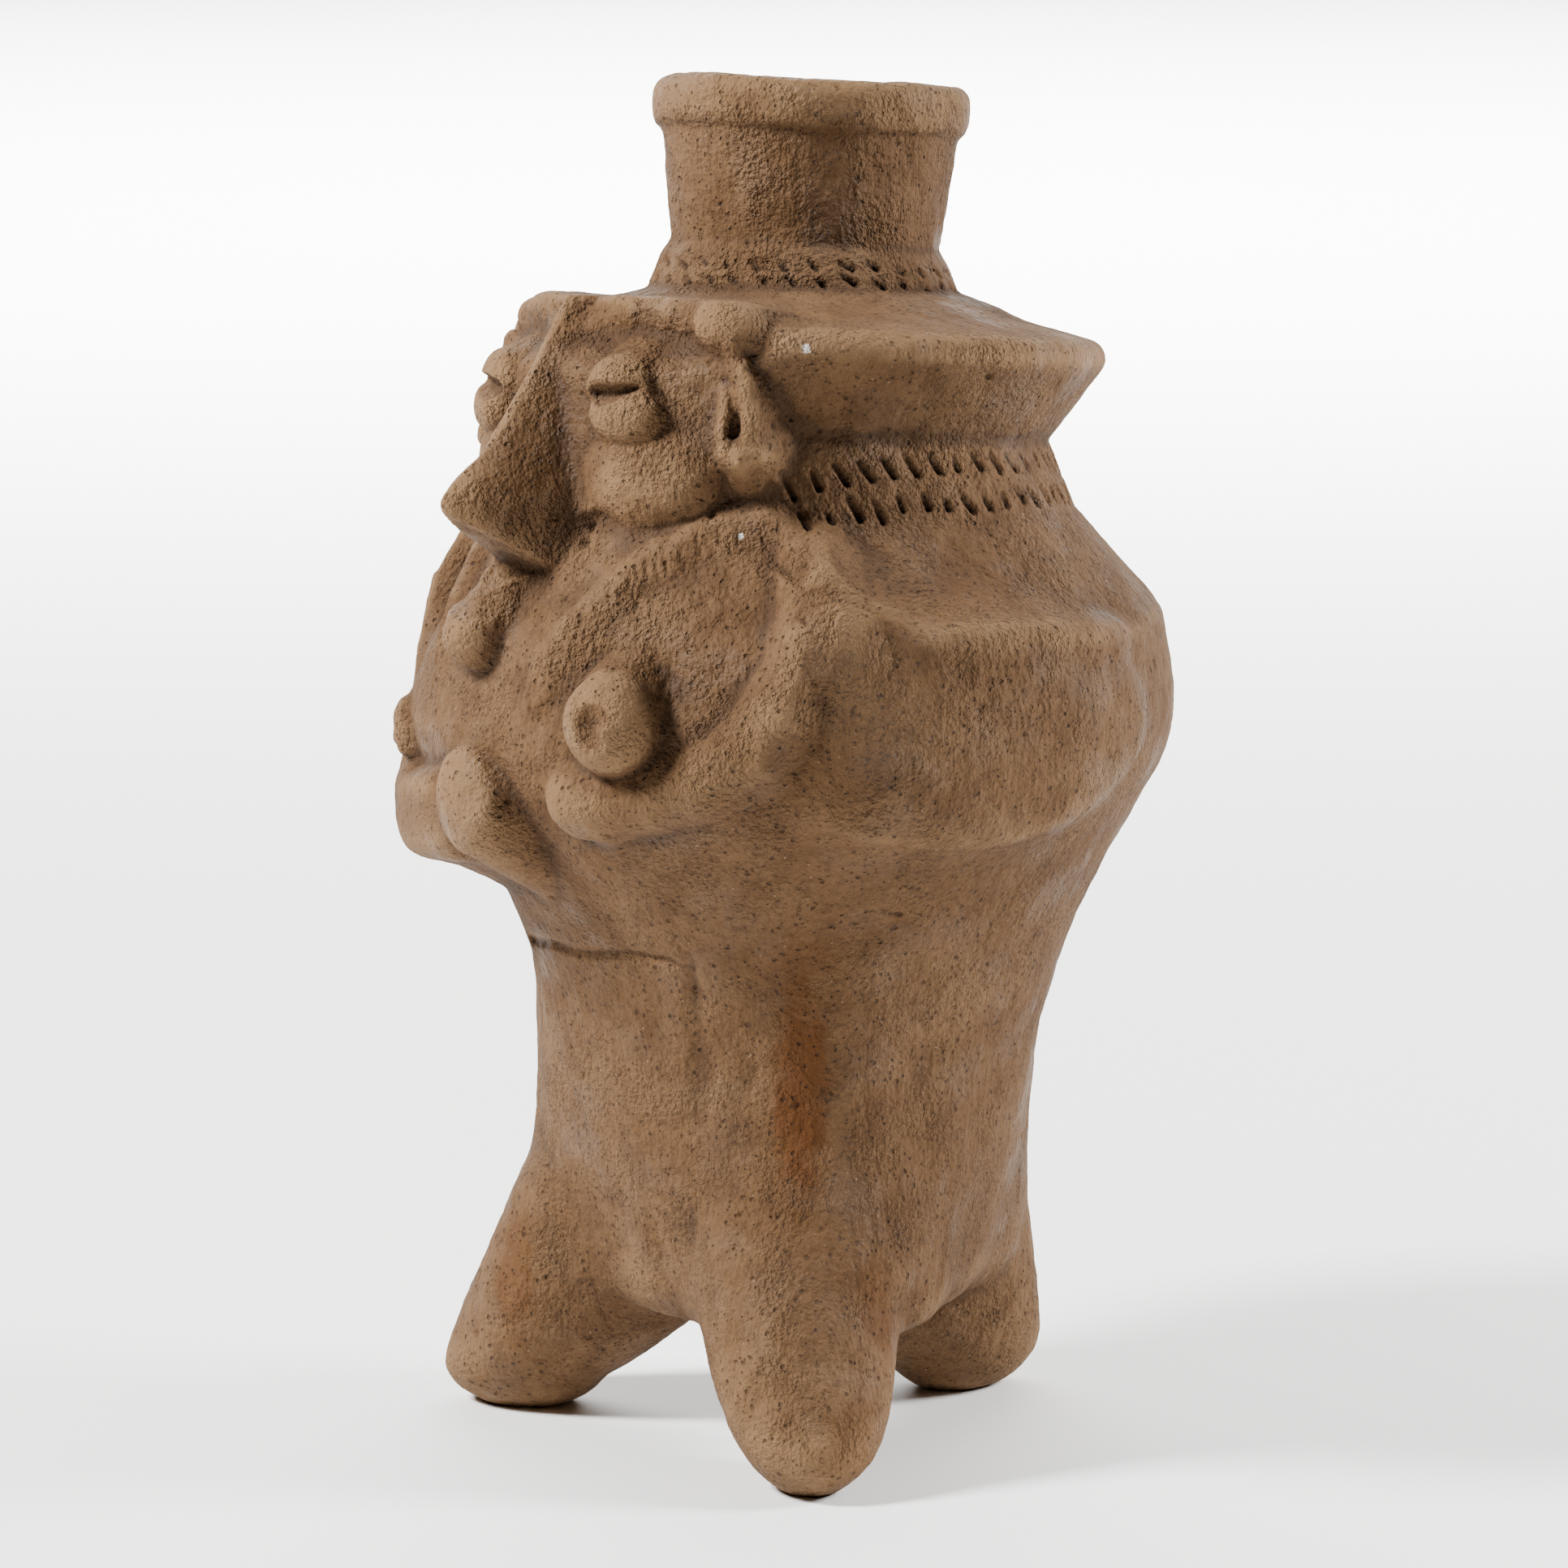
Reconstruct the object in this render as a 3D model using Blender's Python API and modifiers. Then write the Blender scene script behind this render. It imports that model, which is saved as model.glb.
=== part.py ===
"""A tripod effigy jar of fired clay: a squat figure with a big wedge nose, standing on three legs,
whose flat hat carries the spout. The jar is hollow and open at the spout; its legs are solid.

The figure faces -Y, its left hand is on +X, and +Z is up. A bearing is an angle round the jar in
degrees, 0 at the nose and growing towards the figure's left. The jar is a free form, so its outline
and its carving are written in shares, 251 of which make its height. Lengths are in metres."""

import math

import bmesh
import bpy
import numpy as np

# Driving sizes
height = 0.251              # soles to the highest point of the lip
wall = 0.006                # thickness of the clay wall, square to its outline
lip_overhang = 0.0019       # how far the rolled lip stands out from the spout
lip_depth = 0.0092          # height of the rolled lip
sole_depth = 0.0012         # how much of each rounded foot is worn flat
share = height / 251.0

# Fineness of the faceted solid
turn_steps = 240
outline_spacing = 0.0014
remesh_size = 0.0016
kept_share = 0.049
joint_smoothing = 70


def shares(*values):
    """Sizes given in shares of the height, as metres."""
    return [value * share for value in values]


# Outline of the jar, as corners of radius, height and rounding, from the spout down
lip_top = height - 2.8 * share
lip_rounding = 3.6 * share
spout_top = shares(27.0, 238.2, 1.0)
spout_foot = shares(24.3, 218.6, 1.5)
collar_top = shares(25.6, 216.8, 1.6)
collar_foot = shares(28.0, 211.1, 0.7)
crown_edge = shares(27.4, 210.5, 0.6)
skirt = shares(37.0, 207.6, 6.0)
brim = shares(57.9, 202.9, 3.6)
neck_crease = shares(45.6, 185.4, 0.8)
neck_foot = shares(50.7, 172.8, 5.0)
shoulder = shares(67.5, 153.2, 8.0)
belly = shares(71.9, 130.6, 27.0)
waist = shares(45.6, 90.0, 75.0)
seat = shares(44.6, 24.0, 9.0)
underside = shares(0.0, 23.0)
floor_height, floor_rounding = shares(40.0, 18.0)
body_line = [crown_edge, skirt, brim, neck_crease, neck_foot, shoulder, belly, waist]

# The tripod: bearing of each leg, its middle's distance from the axis at the ankle and the hip,
# and how square its foot is
legs = [(65.4, 46.5, 26.0, 1.0), (-56.5, 48.6, 24.6, 1.35), (185.6, 48.2, 37.0, 1.2)]
ankle_height, hip_height = shares(6.0, 60.0)
leg_depth, leg_width = shares(17.0, 17.0)
foot_rise, calf_rise = shares(14.0, 28.0)
flare_start, flare_end, leg_flare = 14.0 * share, 40.0 * share, 0.08
hip_rounding = 0.28         # how much of a leg's height its rounded top takes

# The jar stands behind the middle of its feet, and its head is tilted back and to its right
body_shift = 6.2 * share
tilt_back, tilt_side = 0.092, -0.051
tilt_start, tilt_end, bend_height, bend_softness = shares(150.0, 190.0, 172.0, 30.0)


def smooth_step(value, low, high):
    """Rises smoothly from 0 at low to 1 at high."""
    part = np.clip((value - low) / (high - low), 0.0, 1.0)
    return part * part * (3.0 - 2.0 * part)


def dome(reach, sharp=1.0):
    """A round dome over reach 0 to 1, flatter on top and steeper at its edge as it gets sharp."""
    return np.sqrt(np.clip(1.0 - np.abs(reach) ** (2.0 * sharp), 0.0, 1.0))


def soft_max(first, second, soft):
    """The larger of two sizes, with the corner between them filled."""
    near = np.clip(1.0 - np.abs(first - second) / soft, 0.0, 1.0)
    return np.maximum(first, second) + soft * near ** 2 / 4.0


def soft_min(first, second, soft):
    """The smaller of two sizes, with the corner between them rounded."""
    return -soft_max(-first, -second, soft)


def rounded_outline(corners, spacing):
    """Points along straight runs whose corners, each (radius, height, rounding), become arcs."""
    points = [np.array(corners[0][:2])]
    for before, corner, after in zip(corners, corners[1:], corners[2:]):
        here = np.array(corner[:2])
        back = np.array(before[:2]) - here
        onward = np.array(after[:2]) - here
        back_length, onward_length = np.linalg.norm(back), np.linalg.norm(onward)
        back, onward = back / back_length, onward / onward_length
        half = math.acos(np.clip(back @ onward, -1.0, 1.0)) / 2.0
        reach = min(corner[2] / math.tan(half), 0.48 * back_length, 0.48 * onward_length)
        arc_radius = reach * math.tan(half)
        middle = (back + onward) / np.linalg.norm(back + onward)
        centre = here + middle * arc_radius / math.sin(half)
        first, last = here + back * reach - centre, here + onward * reach - centre
        sweep = math.pi - 2.0 * half
        count = max(2, math.ceil(arc_radius * sweep / spacing), math.ceil(sweep / 0.5))
        for step in range(count + 1):
            part = step / count
            spoke = first * math.sin((1.0 - part) * sweep) + last * math.sin(part * sweep)
            points.append(centre + spoke / math.sin(sweep))
    points.append(np.array(corners[-1][:2]))
    spread = [points[0]]
    for start, end in zip(points, points[1:]):
        count = max(1, math.ceil(np.linalg.norm(end - start) / spacing))
        spread += [start + (end - start) * step / count for step in range(1, count + 1)]
    return spread


def wall_inside(corners, thickness):
    """The corners of a run moved square to its lines, towards the inside of the jar."""
    lines = []
    for start, end in zip(corners, corners[1:]):
        run = np.array(end[:2]) - np.array(start[:2])
        run = run / np.linalg.norm(run)
        inward = np.array([run[1], -run[0]])
        lines.append((np.array(start[:2]) + inward * thickness, run))
    moved = [lines[0][0]]
    for (point, run), (next_point, next_run) in zip(lines, lines[1:]):
        gap = next_point - point
        across = run[0] * next_run[1] - run[1] * next_run[0]
        moved.append(point + run * (gap[0] * next_run[1] - gap[1] * next_run[0]) / across)
    return moved


def wall_profile():
    """The whole wall: from the middle of the inner floor up to the lip and down the outside."""
    main = [spout_top, spout_foot] + body_line
    inner = wall_inside(main + [(seat[0], floor_height - wall), (0.0, floor_height - wall)], wall)
    rounding = [0.0] + [corner[2] + wall for corner in main[1:]] + [floor_rounding]
    inside = [(0.0, floor_height)]
    inside += [(point[0], point[1], soft) for point, soft in zip(inner[:0:-1], rounding[:0:-1])]
    lip_radius = spout_top[0] + lip_overhang
    lip_foot = lip_top - lip_depth
    inside += [(inner[0][0], lip_top, lip_rounding)]
    outside = [(lip_radius, lip_top, lip_rounding), (lip_radius, lip_foot, lip_rounding / 2.0)]
    outside += [(spout_top[0], lip_foot, spout_top[2]), spout_foot, collar_top, collar_foot]
    return rounded_outline(inside + outside + body_line + [seat, underside], outline_spacing)


def turned(points, name):
    """Turns a profile round the jar's axis into a closed mesh."""
    mesh = bpy.data.meshes.new(name)
    edges = [(index, index + 1) for index in range(len(points) - 1)]
    mesh.from_pydata([(radius, 0.0, rise) for radius, rise in points], edges, [])
    guide = bpy.data.objects.new(name, mesh)
    cutters.objects.link(guide)
    screw = guide.modifiers.new("turn", "SCREW")
    screw.steps = screw.render_steps = turn_steps
    screw.use_merge_vertices = True
    screw.merge_threshold = 0.00005
    bpy.context.view_layer.update()
    made = bpy.data.meshes.new_from_object(guide.evaluated_get(bpy.context.evaluated_depsgraph_get()))
    bpy.data.objects.remove(guide)
    return made


def places(mesh):
    """A mesh's points as an array."""
    flat = np.empty(len(mesh.vertices) * 3, dtype=np.float32)
    mesh.vertices.foreach_get("co", flat)
    return flat.reshape(-1, 3).astype(float)


def move_to(mesh, points):
    """Puts a mesh's points where an array says."""
    mesh.vertices.foreach_set("co", points.astype(np.float32).ravel())
    mesh.update()


# Carving, in shares: places are (bearing, height), paths are (bearing, height, crest, half width)
face_top, face_radius, face_foot, face_slope = 202.0, 54.0, 46.0, 2.6
jaw_line = [(0.0, 165.0), (15.0, 169.4), (26.0, 170.0), (35.0, 172.4), (42.0, 175.7), (53.0, 178.9)]
crown_line = [(193.0, 56.5), (199.0, 52.2), (202.4, 49.8), (204.9, 46.6), (206.2, 43.4), (210.0, 41.0)]
crown_lift, crown_rim = 1.8, 3.3 * share
nose_ridge = [(163.0, 76.2), (173.2, 75.2), (178.6, 68.8), (185.4, 63.2), (196.5, 56.0), (210.0, 48.0)]
nose_under = [(152.0, 0.0), (160.0, 50.0), (164.0, 59.3), (173.6, 79.0), (180.0, 93.0)]
nose_top, nose_half, nose_spread, nose_blunt = 202.0, 3.4, 0.20, 0.27
eye_top, eye_top_size, eye_foot, eye_foot_size = (21.6, 191.0), (8.4, 5.4), (24.6, 188.4), (8.6, 5.2)
eye_crest = 58.6
slit = [(16.4, 190.4, 0.0, 1.4), (19.5, 190.6, 0.0, 2.0), (23.0, 191.0, 0.0, 1.7), (28.6, 192.4, 0.0, 0.8)]
socket, socket_size, socket_depth = (22.0, 197.0), (20.0, 5.0), 2.2
brow = [(3.0, 200.8, 50.8, 2.4), (14.0, 201.6, 50.8, 2.8), (24.0, 200.8, 51.0, 3.0),
        (33.0, 200.0, 51.4, 3.2), (41.0, 200.0, 52.2, 3.4)]
knob, knob_size, knob_crest = (43.6, 203.0), (5.4, 5.0), 58.2
ear_outer = [(43.0, 197.2, 54.8, 2.8), (46.4, 193.2, 57.4, 2.7), (47.6, 188.0, 58.2, 2.5),
             (47.8, 182.6, 58.4, 2.6)]
ear_inner = [(40.0, 194.0, 56.4, 1.8), (41.4, 189.4, 57.2, 1.8), (41.4, 183.0, 57.6, 1.8)]
ear_lobe = [(42.4, 179.2, 58.6, 2.5), (47.0, 178.6, 59.4, 3.2), (49.6, 179.8, 58.2, 2.4)]
ear_hole, ear_hole_size, ear_hole_depth = (44.2, 184.6), (1.6, 2.6), 3.2
cheek, cheek_size, cheek_crest = (25.5, 178.0), (14.5, 8.6), 57.2
chin = [(0.0, 164.0, 60.5, 4.4), (-0.6, 160.0, 66.0, 5.6), (-1.2, 155.2, 72.2, 6.4), (-1.6, 152.8, 72.8, 6.2)]
necklace = [(52.0, 170.6, 53.4, 3.4), (40.0, 169.4, 55.6, 3.4), (30.0, 165.4, 59.4, 3.6),
            (23.4, 160.6, 63.4, 3.8), (18.6, 155.0, 67.8, 3.8), (15.4, 149.4, 70.0, 3.6),
            (13.8, 142.6, 70.6, 3.2)]
right_necklace = [(turn, level, crest - 2.0, half) for turn, level, crest, half in necklace]
upper_arm = [(55.6, 166.2, 59.6, 3.4), (56.6, 163.4, 65.4, 4.6), (57.0, 157.6, 70.8, 5.0),
             (56.0, 150.0, 73.4, 6.2), (53.6, 142.5, 74.0, 8.0)]
forearm = [(53.6, 142.5, 73.8, 8.0), (50.0, 135.8, 73.4, 9.0), (42.0, 131.2, 72.8, 7.6),
           (34.0, 128.2, 72.6, 7.0), (26.0, 126.8, 73.2, 7.9), (22.6, 127.0, 73.2, 8.2)]
right_arm = [(-57.0, 163.6, 66.0, 4.6), (-57.2, 155.0, 71.6, 5.6), (-54.0, 141.0, 73.0, 7.4),
             (-47.0, 124.0, 72.6, 8.6), (-36.0, 117.6, 72.8, 9.0), (-22.0, 117.2, 73.6, 9.2),
             (-8.0, 119.8, 74.4, 9.2)]
right_hand, right_hand_size, right_hand_crest = (1.5, 123.6), (8.8, 10.2), 76.0
shoulder_ridge = [(60.0, 163.4, 66.4, 3.6), (66.0, 158.4, 69.0, 3.8), (76.0, 155.0, 70.6, 4.0),
                  (97.0, 153.6, 70.6, 4.2), (114.0, 151.6, 69.4, 4.2), (134.0, 147.0, 66.0, 4.0)]
flank, flank_size, flank_crest = (84.0, 138.0), (42.0, 20.0), 71.8
chest, chest_size, chest_depth = (0.0, 149.0), (52.0, 16.0), 1.8
hollow, hollow_size, hollow_depth = (38.0, 150.0), (19.0, 17.0), 2.2
right_hollow, right_hollow_size, right_hollow_depth = (-34.0, 158.0), (30.0, 14.0), 2.4
left_breast, right_breast = (30.4, 142.0), (-31.0, 131.4)
breast_size, breast_crest, worn_breast_size, worn_breast_crest = (8.3, 8.4), 77.6, (7.4, 6.6), 73.2
nipple, nipple_size, nipple_depth = (27.0, 142.4), (3.2, 3.4), 1.3
thigh_line = [(26.0, 16.0), (44.0, 18.0), (62.0, 18.0), (90.0, 14.0)]
belt = [(-24.0, 92.4, 0.0, 1.3), (0.0, 94.4, 0.0, 1.3), (16.0, 95.6, 0.0, 1.3), (34.0, 96.2, 0.0, 1.3)]
seam = [(34.5, 98.0, 0.0, 0.5), (34.5, 86.0, 0.0, 3.0), (34.0, 74.0, 0.0, 3.6), (32.0, 58.0, 0.0, 4.4),
        (30.5, 44.0, 0.0, 5.0)]
back_full, back_full_size, back_full_depth = (143.0, 99.0), (44.0, 22.0), 1.2


def path_on(side, level, girth, path):
    """The nearest place on a path over the surface: its distance, crest radius and half width."""
    across = np.radians(side) * girth
    nearest = np.full(side.shape, np.inf)
    crest, half = np.zeros(side.shape), np.ones(side.shape)
    for start, end in zip(path, path[1:]):
        first = np.array([math.radians(start[0]) * girth, start[1]])
        run = np.array([math.radians(end[0]) * girth, end[1]]) - first
        part = ((across - first[0]) * run[0] + (level - first[1]) * run[1]) / (run @ run)
        part = np.clip(part, 0.0, 1.0)
        width = start[3] + (end[3] - start[3]) * part
        distance = np.hypot(across - first[0] - run[0] * part, level - first[1] - run[1] * part)
        closer = distance - width < nearest
        nearest = np.where(closer, distance - width, nearest)
        crest = np.where(closer, start[2] + (end[2] - start[2]) * part, crest)
        half = np.where(closer, width, half)
    return nearest + half, crest, half


def roll(base, side, level, path, soft, girth=66.0, sharp=1.0):
    """Lays a roll of clay along a path over a base radius."""
    distance, crest, half = path_on(side, level, girth, path)
    reach = distance / half
    bulge = crest - half * np.where(reach < 1.0, 1.0 - dome(reach, sharp), 2.0 * reach - 1.0)
    return soft_max(base, bulge, soft)


def pellet(base, side, level, place, size, crest, soft, girth=66.0, depth=None, sharp=1.0):
    """Presses an oval pellet, of half width and half height, on a place."""
    reach = np.hypot(np.radians(side - place[0]) * girth / size[0], (level - place[1]) / size[1])
    depth = min(size) if depth is None else depth
    outside = 2.0 * min(size) * np.clip(reach - 1.0, 0.0, None)
    return soft_max(base, crest - depth * (1.0 - dome(reach, sharp)) - outside, soft)


def dent(side, level, place, size, depth, girth=66.0):
    """How deep an oval dent goes in at each point."""
    reach = np.hypot(np.radians(side - place[0]) * girth / size[0], (level - place[1]) / size[1])
    return depth * np.clip(1.0 - reach ** 2, 0.0, 1.0)


def press(base, side, level, path, depth, girth):
    """Presses a groove along a path."""
    distance, _, half = path_on(side, level, girth, path)
    return base - depth * np.clip(1.0 - (distance / half) ** 2, 0.0, 1.0)


def along(level, line):
    """The second size of a line of pairs, at the place where the first is level."""
    return np.interp(level, [pair[0] for pair in line], [pair[1] for pair in line])


def face_fill(base, side, level):
    """Fills the front between the hat's brim and the jaw, and tapers off behind the ears."""
    foot = along(np.abs(side), jaw_line)
    fill = soft_min(face_foot + (level - foot) * face_slope, face_radius, 3.0)
    reach = 1.0 - smooth_step(level, face_top - 3.0, face_top + 1.0)
    reach = reach * (1.0 - smooth_step(np.abs(side), 45.0, 52.0))
    filled = soft_max(base, np.where(level > foot - 3.0, fill, 0.0), 1.2)
    return base + (filled - base) * reach


def round_crown(base, side, level):
    """Rounds the hat over the forehead, where it has no brim."""
    limit = along(level, crown_line)
    reach = (1.0 - smooth_step(np.abs(side), 40.0, 54.0)) * smooth_step(level, 190.0, 196.0)
    return base + (soft_min(base, limit, 1.5) - base) * reach


def nose(base, side, level):
    """A wedge with a rounded ridge, flat sides and a flat triangle below its tip."""
    across = np.abs(np.radians(side)) * 60.0
    ridge = along(level, nose_ridge)
    half = np.clip(nose_half + nose_spread * (nose_top - level), nose_half, 12.0)
    fall = np.sqrt((across / half) ** 2 + nose_blunt ** 2) - nose_blunt
    sides = ridge - np.maximum(ridge - 50.0, 4.0) * fall
    wedge = np.where(level < nose_top + 4.0, soft_min(sides, along(level, nose_under), 1.6), 0.0)
    return soft_max(base, wedge, 1.6)


def face(base, side, level):
    """One side's half of the face."""
    base = base - dent(side, level, socket, socket_size, socket_depth, 56.0)
    base = pellet(base, side, level, cheek, cheek_size, cheek_crest, 2.0, 56.0, 6.0)
    base = roll(base, side, level, brow, 1.2, 56.0)
    base = pellet(base, side, level, eye_foot, eye_foot_size, eye_crest, 0.5, 58.0, 4.6)
    base = pellet(base, side, level, eye_top, eye_top_size, eye_crest, 1.0, 58.0, 5.0)
    base = press(base, side, level, slit, 3.4, 59.0)
    for strip in (ear_outer, ear_inner, ear_lobe):
        base = roll(base, side, level, strip, 0.8, 58.0)
    return base - dent(side, level, ear_hole, ear_hole_size, ear_hole_depth, 58.0)


def thighs(base, side, level):
    """Carries each leg's outer edge up the wall as a ridge."""
    for leg in legs:
        shift = (leg_depth + body_shift * math.cos(math.radians(leg[0]))) / share
        path = []
        for rung, half in thigh_line:
            climb = np.clip((rung * share - ankle_height) / (hip_height - ankle_height), 0.0, 1.0)
            edge = leg[1] + (leg[2] - leg[1]) * climb + shift
            path.append((0.0, rung, max(edge, waist[0] / share), half))
        base = roll(base, (side - leg[0] + 180.0) % 360.0 - 180.0, level, path, 9.0, 50.0)
    return base


def figure(base, side, level):
    """The outside's radius once the whole figure is modelled on it."""
    base = base - dent(side, level, chest, chest_size, chest_depth)
    base = base - dent(side, level, right_hollow, right_hollow_size, right_hollow_depth)
    base = face_fill(base, side, level)
    base = round_crown(base, side, level)
    for turn in (side, -side):
        base = pellet(base, turn, level, flank, flank_size, flank_crest, 6.0, 66.0, 5.0)
        base = base - dent(turn, level, hollow, hollow_size, hollow_depth)
        base = face(base, turn, level)
        base = roll(base, turn, level, shoulder_ridge, 3.0)
    base = pellet(base, side, level, knob, knob_size, knob_crest, 1.5, 58.0)
    base = roll(base, side, level, necklace, 2.0, 62.0)
    base = roll(base, -side, level, right_necklace, 2.0, 62.0)
    base = roll(base, side, level, chin, 2.0)
    base = nose(base, side, level)
    base = roll(base, side, level, upper_arm, 2.5)
    base = roll(base, side, level, forearm, 2.0)
    base = roll(base, side, level, right_arm, 1.5, sharp=2.0)
    base = pellet(base, side, level, right_hand, right_hand_size, right_hand_crest, 1.2, 72.0, 5.0)
    base = pellet(base, side, level, left_breast, breast_size, breast_crest, 0.8, 70.0, 7.0, sharp=1.6)
    base = base - dent(side, level, nipple, nipple_size, nipple_depth, 74.0)
    base = pellet(base, side, level, right_breast, worn_breast_size, worn_breast_crest, 1.0, 70.0, 6.0,
                  sharp=1.6)
    base = thighs(base, side, level)
    base = press(base, side, level, belt, 0.8, 48.0)
    base = press(base, side, level, seam, 0.8, 48.0)
    return base + dent(side, level, back_full, back_full_size, back_full_depth, 52.0)


def unevenness(side, level):
    """The slow swells that a hand leaves in a wall built up from coils."""
    turn, climb = np.radians(side), level / 40.0
    return 0.45 * np.sin(2.0 * turn + 1.9 * climb + 0.6) + 0.35 * np.sin(3.0 * turn - 1.3 * climb + 2.1)


def settle(points):
    """Stands the jar behind its feet and tilts the head, as the soft clay settled."""
    x, y, rise = points.T
    bend = soft_max(rise - bend_height, np.zeros(rise.shape), bend_softness)
    sheer = smooth_step(rise, tilt_start, tilt_end) * (tilt_back * y + tilt_side * x)
    return np.column_stack([x + tilt_side * bend, y + body_shift + tilt_back * bend, rise - sheer])


def wall_middle(rise):
    """Radius of the middle of the wall at a height, which parts its outside from its inside."""
    middle = wall_inside([spout_foot] + body_line + [seat, underside], wall / 2.0)
    middle.sort(key=lambda point: point[1])
    return np.interp(rise, [point[1] for point in middle], [point[0] for point in middle])


def make_body():
    """The hollow jar with its figure, without legs."""
    mesh = turned(wall_profile(), "body")
    points = places(mesh)
    radius = np.hypot(points[:, 0], points[:, 1])
    side = np.degrees(np.arctan2(points[:, 0], -points[:, 1]))
    rise = points[:, 2].copy()
    outside = radius > wall_middle(rise)
    crown = round_crown(radius / share, side, rise / share) * share
    moved = np.where(outside, crown, radius)
    carved = (figure(radius / share, side, rise / share) + unevenness(side, rise / share)) * share
    swell = smooth_step(rise, underside[1] + 8.0 * share, seat[1] + 14.0 * share)
    moved = np.where(outside & (rise < brim[1] + crown_rim), radius + (carved - radius) * swell, moved)
    scale = np.where(radius > 1e-6, moved / np.maximum(radius, 1e-6), 1.0)
    points[:, 0] *= scale
    points[:, 1] *= scale
    front = 1.0 - smooth_step(np.abs(side), 40.0, 56.0)
    lift = smooth_step(radius / share, 32.0, 44.0) * smooth_step(rise / share, 192.0, 203.0)
    turn = np.radians(side)
    wave = 0.5 * np.sin(2.0 * turn + 0.8) + 0.35 * np.sin(3.0 * turn + 2.0) - 0.45 * np.cos(turn + 0.2)
    wave = wave * smooth_step(rise, spout_foot[1], height)
    points[:, 2] += (crown_lift * front * lift + wave) * share
    move_to(mesh, settle(points))
    return mesh


def make_leg(bearing, ankle_radius, hip_radius, squareness):
    """A blunt leg, deeper than it is wide at the foot, that leans in towards the hip."""
    count = 40
    levels = [-sole_depth + (hip_height + sole_depth) * step / count for step in range(count, -1, -1)]
    points = [(0.0, hip_height)] + [(1.0 * share, level) for level in levels[:-1]] + [(0.0, levels[-1])]
    mesh = turned(points, "leg")
    spots = places(mesh)
    level = spots[:, 2]
    off_sole = level + sole_depth
    depth = leg_depth * dome(1.0 - np.clip(off_sole / foot_rise, 0.0, 1.0), squareness)
    width = leg_width * dome(1.0 - np.clip(off_sole / calf_rise, 0.0, 1.0), squareness)
    width *= 1.0 + leg_flare * smooth_step(level, flare_start, flare_end)
    climb = np.clip((level - ankle_height) / (hip_height - ankle_height), 0.0, 1.0)
    centre = (ankle_radius + (hip_radius - ankle_radius) * climb) * share
    inner_edge = (waist[0] - wall / 2.0) * smooth_step(level, floor_height - wall, floor_height)
    top = dome(np.clip((level / hip_height - 1.0) / hip_rounding + 1.0, 0.0, 1.0))
    out = spots[:, 0] / share * depth * top + centre
    across = spots[:, 1] / share * width * top
    turn = math.radians(bearing)
    x = out * math.sin(turn) + across * math.cos(turn)
    y = -out * math.cos(turn) + across * math.sin(turn)
    off_axis = np.hypot(x, y - body_shift)
    push = np.maximum(off_axis, inner_edge) / np.maximum(off_axis, 1e-6)
    move_to(mesh, np.column_stack([x * push, body_shift + (y - body_shift) * push, level]))
    return mesh


def join(meshes, name):
    """One mesh of several, for the union that follows."""
    joined = bmesh.new()
    for mesh in meshes:
        joined.from_mesh(mesh)
        bpy.data.meshes.remove(mesh)
    bmesh.ops.recalc_face_normals(joined, faces=joined.faces)
    whole = bpy.data.meshes.new(name)
    joined.to_mesh(whole)
    joined.free()
    return whole


for thing in list(bpy.data.objects):
    bpy.data.objects.remove(thing, do_unlink=True)
model = bpy.data.collections.new("effigy jar")
cutters = bpy.data.collections.new("cutters")
bpy.context.scene.collection.children.link(model)
bpy.context.scene.collection.children.link(cutters)

blank = bpy.data.objects.new("blank", join([make_body()] + [make_leg(*leg) for leg in legs], "blank"))
cutters.objects.link(blank)
union = blank.modifiers.new("union", "REMESH")
union.mode = "VOXEL"
union.voxel_size = remesh_size
bpy.context.view_layer.update()
mesh = bpy.data.meshes.new_from_object(blank.evaluated_get(bpy.context.evaluated_depsgraph_get()))
bpy.data.objects.remove(blank)
spots = places(mesh)
box_middle = (spots.min(axis=0) + spots.max(axis=0)) / 2.0
move_to(mesh, spots - np.array([box_middle[0], box_middle[1], 0.0]))
vessel = bpy.data.objects.new("vessel", mesh)
model.objects.link(vessel)

joint = vessel.vertex_groups.new(name="leg joints")
blend = smooth_step(spots[:, 2] / share, 12.0, 24.0) * (1.0 - smooth_step(spots[:, 2] / share, 54.0, 72.0))
for index in np.nonzero(blend > 0.01)[0]:
    joint.add([int(index)], float(blend[index]), "REPLACE")
smoothing = vessel.modifiers.new("smoothed joints", "SMOOTH")
smoothing.factor = 0.5
smoothing.iterations = joint_smoothing
smoothing.vertex_group = joint.name
thinning = vessel.modifiers.new("fewer faces", "DECIMATE")
thinning.ratio = kept_share

bpy.ops.mesh.primitive_cube_add(size=1.0)
ground = bpy.context.object
ground.name = "ground"
ground.scale = (4.0 * belly[0], 4.0 * belly[0], 20.0 * share)
ground.location = (0.0, 0.0, -10.0 * share)
for owner in list(ground.users_collection):
    owner.objects.unlink(ground)
cutters.objects.link(ground)
ground.hide_render = True
ground.display_type = "WIRE"
soles = vessel.modifiers.new("flat soles", "BOOLEAN")
soles.operation = "DIFFERENCE"
soles.object = ground

clay = bpy.data.materials.new("fired clay")
clay.use_nodes = True
shader = clay.node_tree.nodes["Principled BSDF"]
shader.inputs["Base Color"].default_value = (0.33, 0.22, 0.145, 1.0)
shader.inputs["Roughness"].default_value = 0.85
shader.inputs["Metallic"].default_value = 0.0
vessel.data.materials.append(clay)
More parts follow.
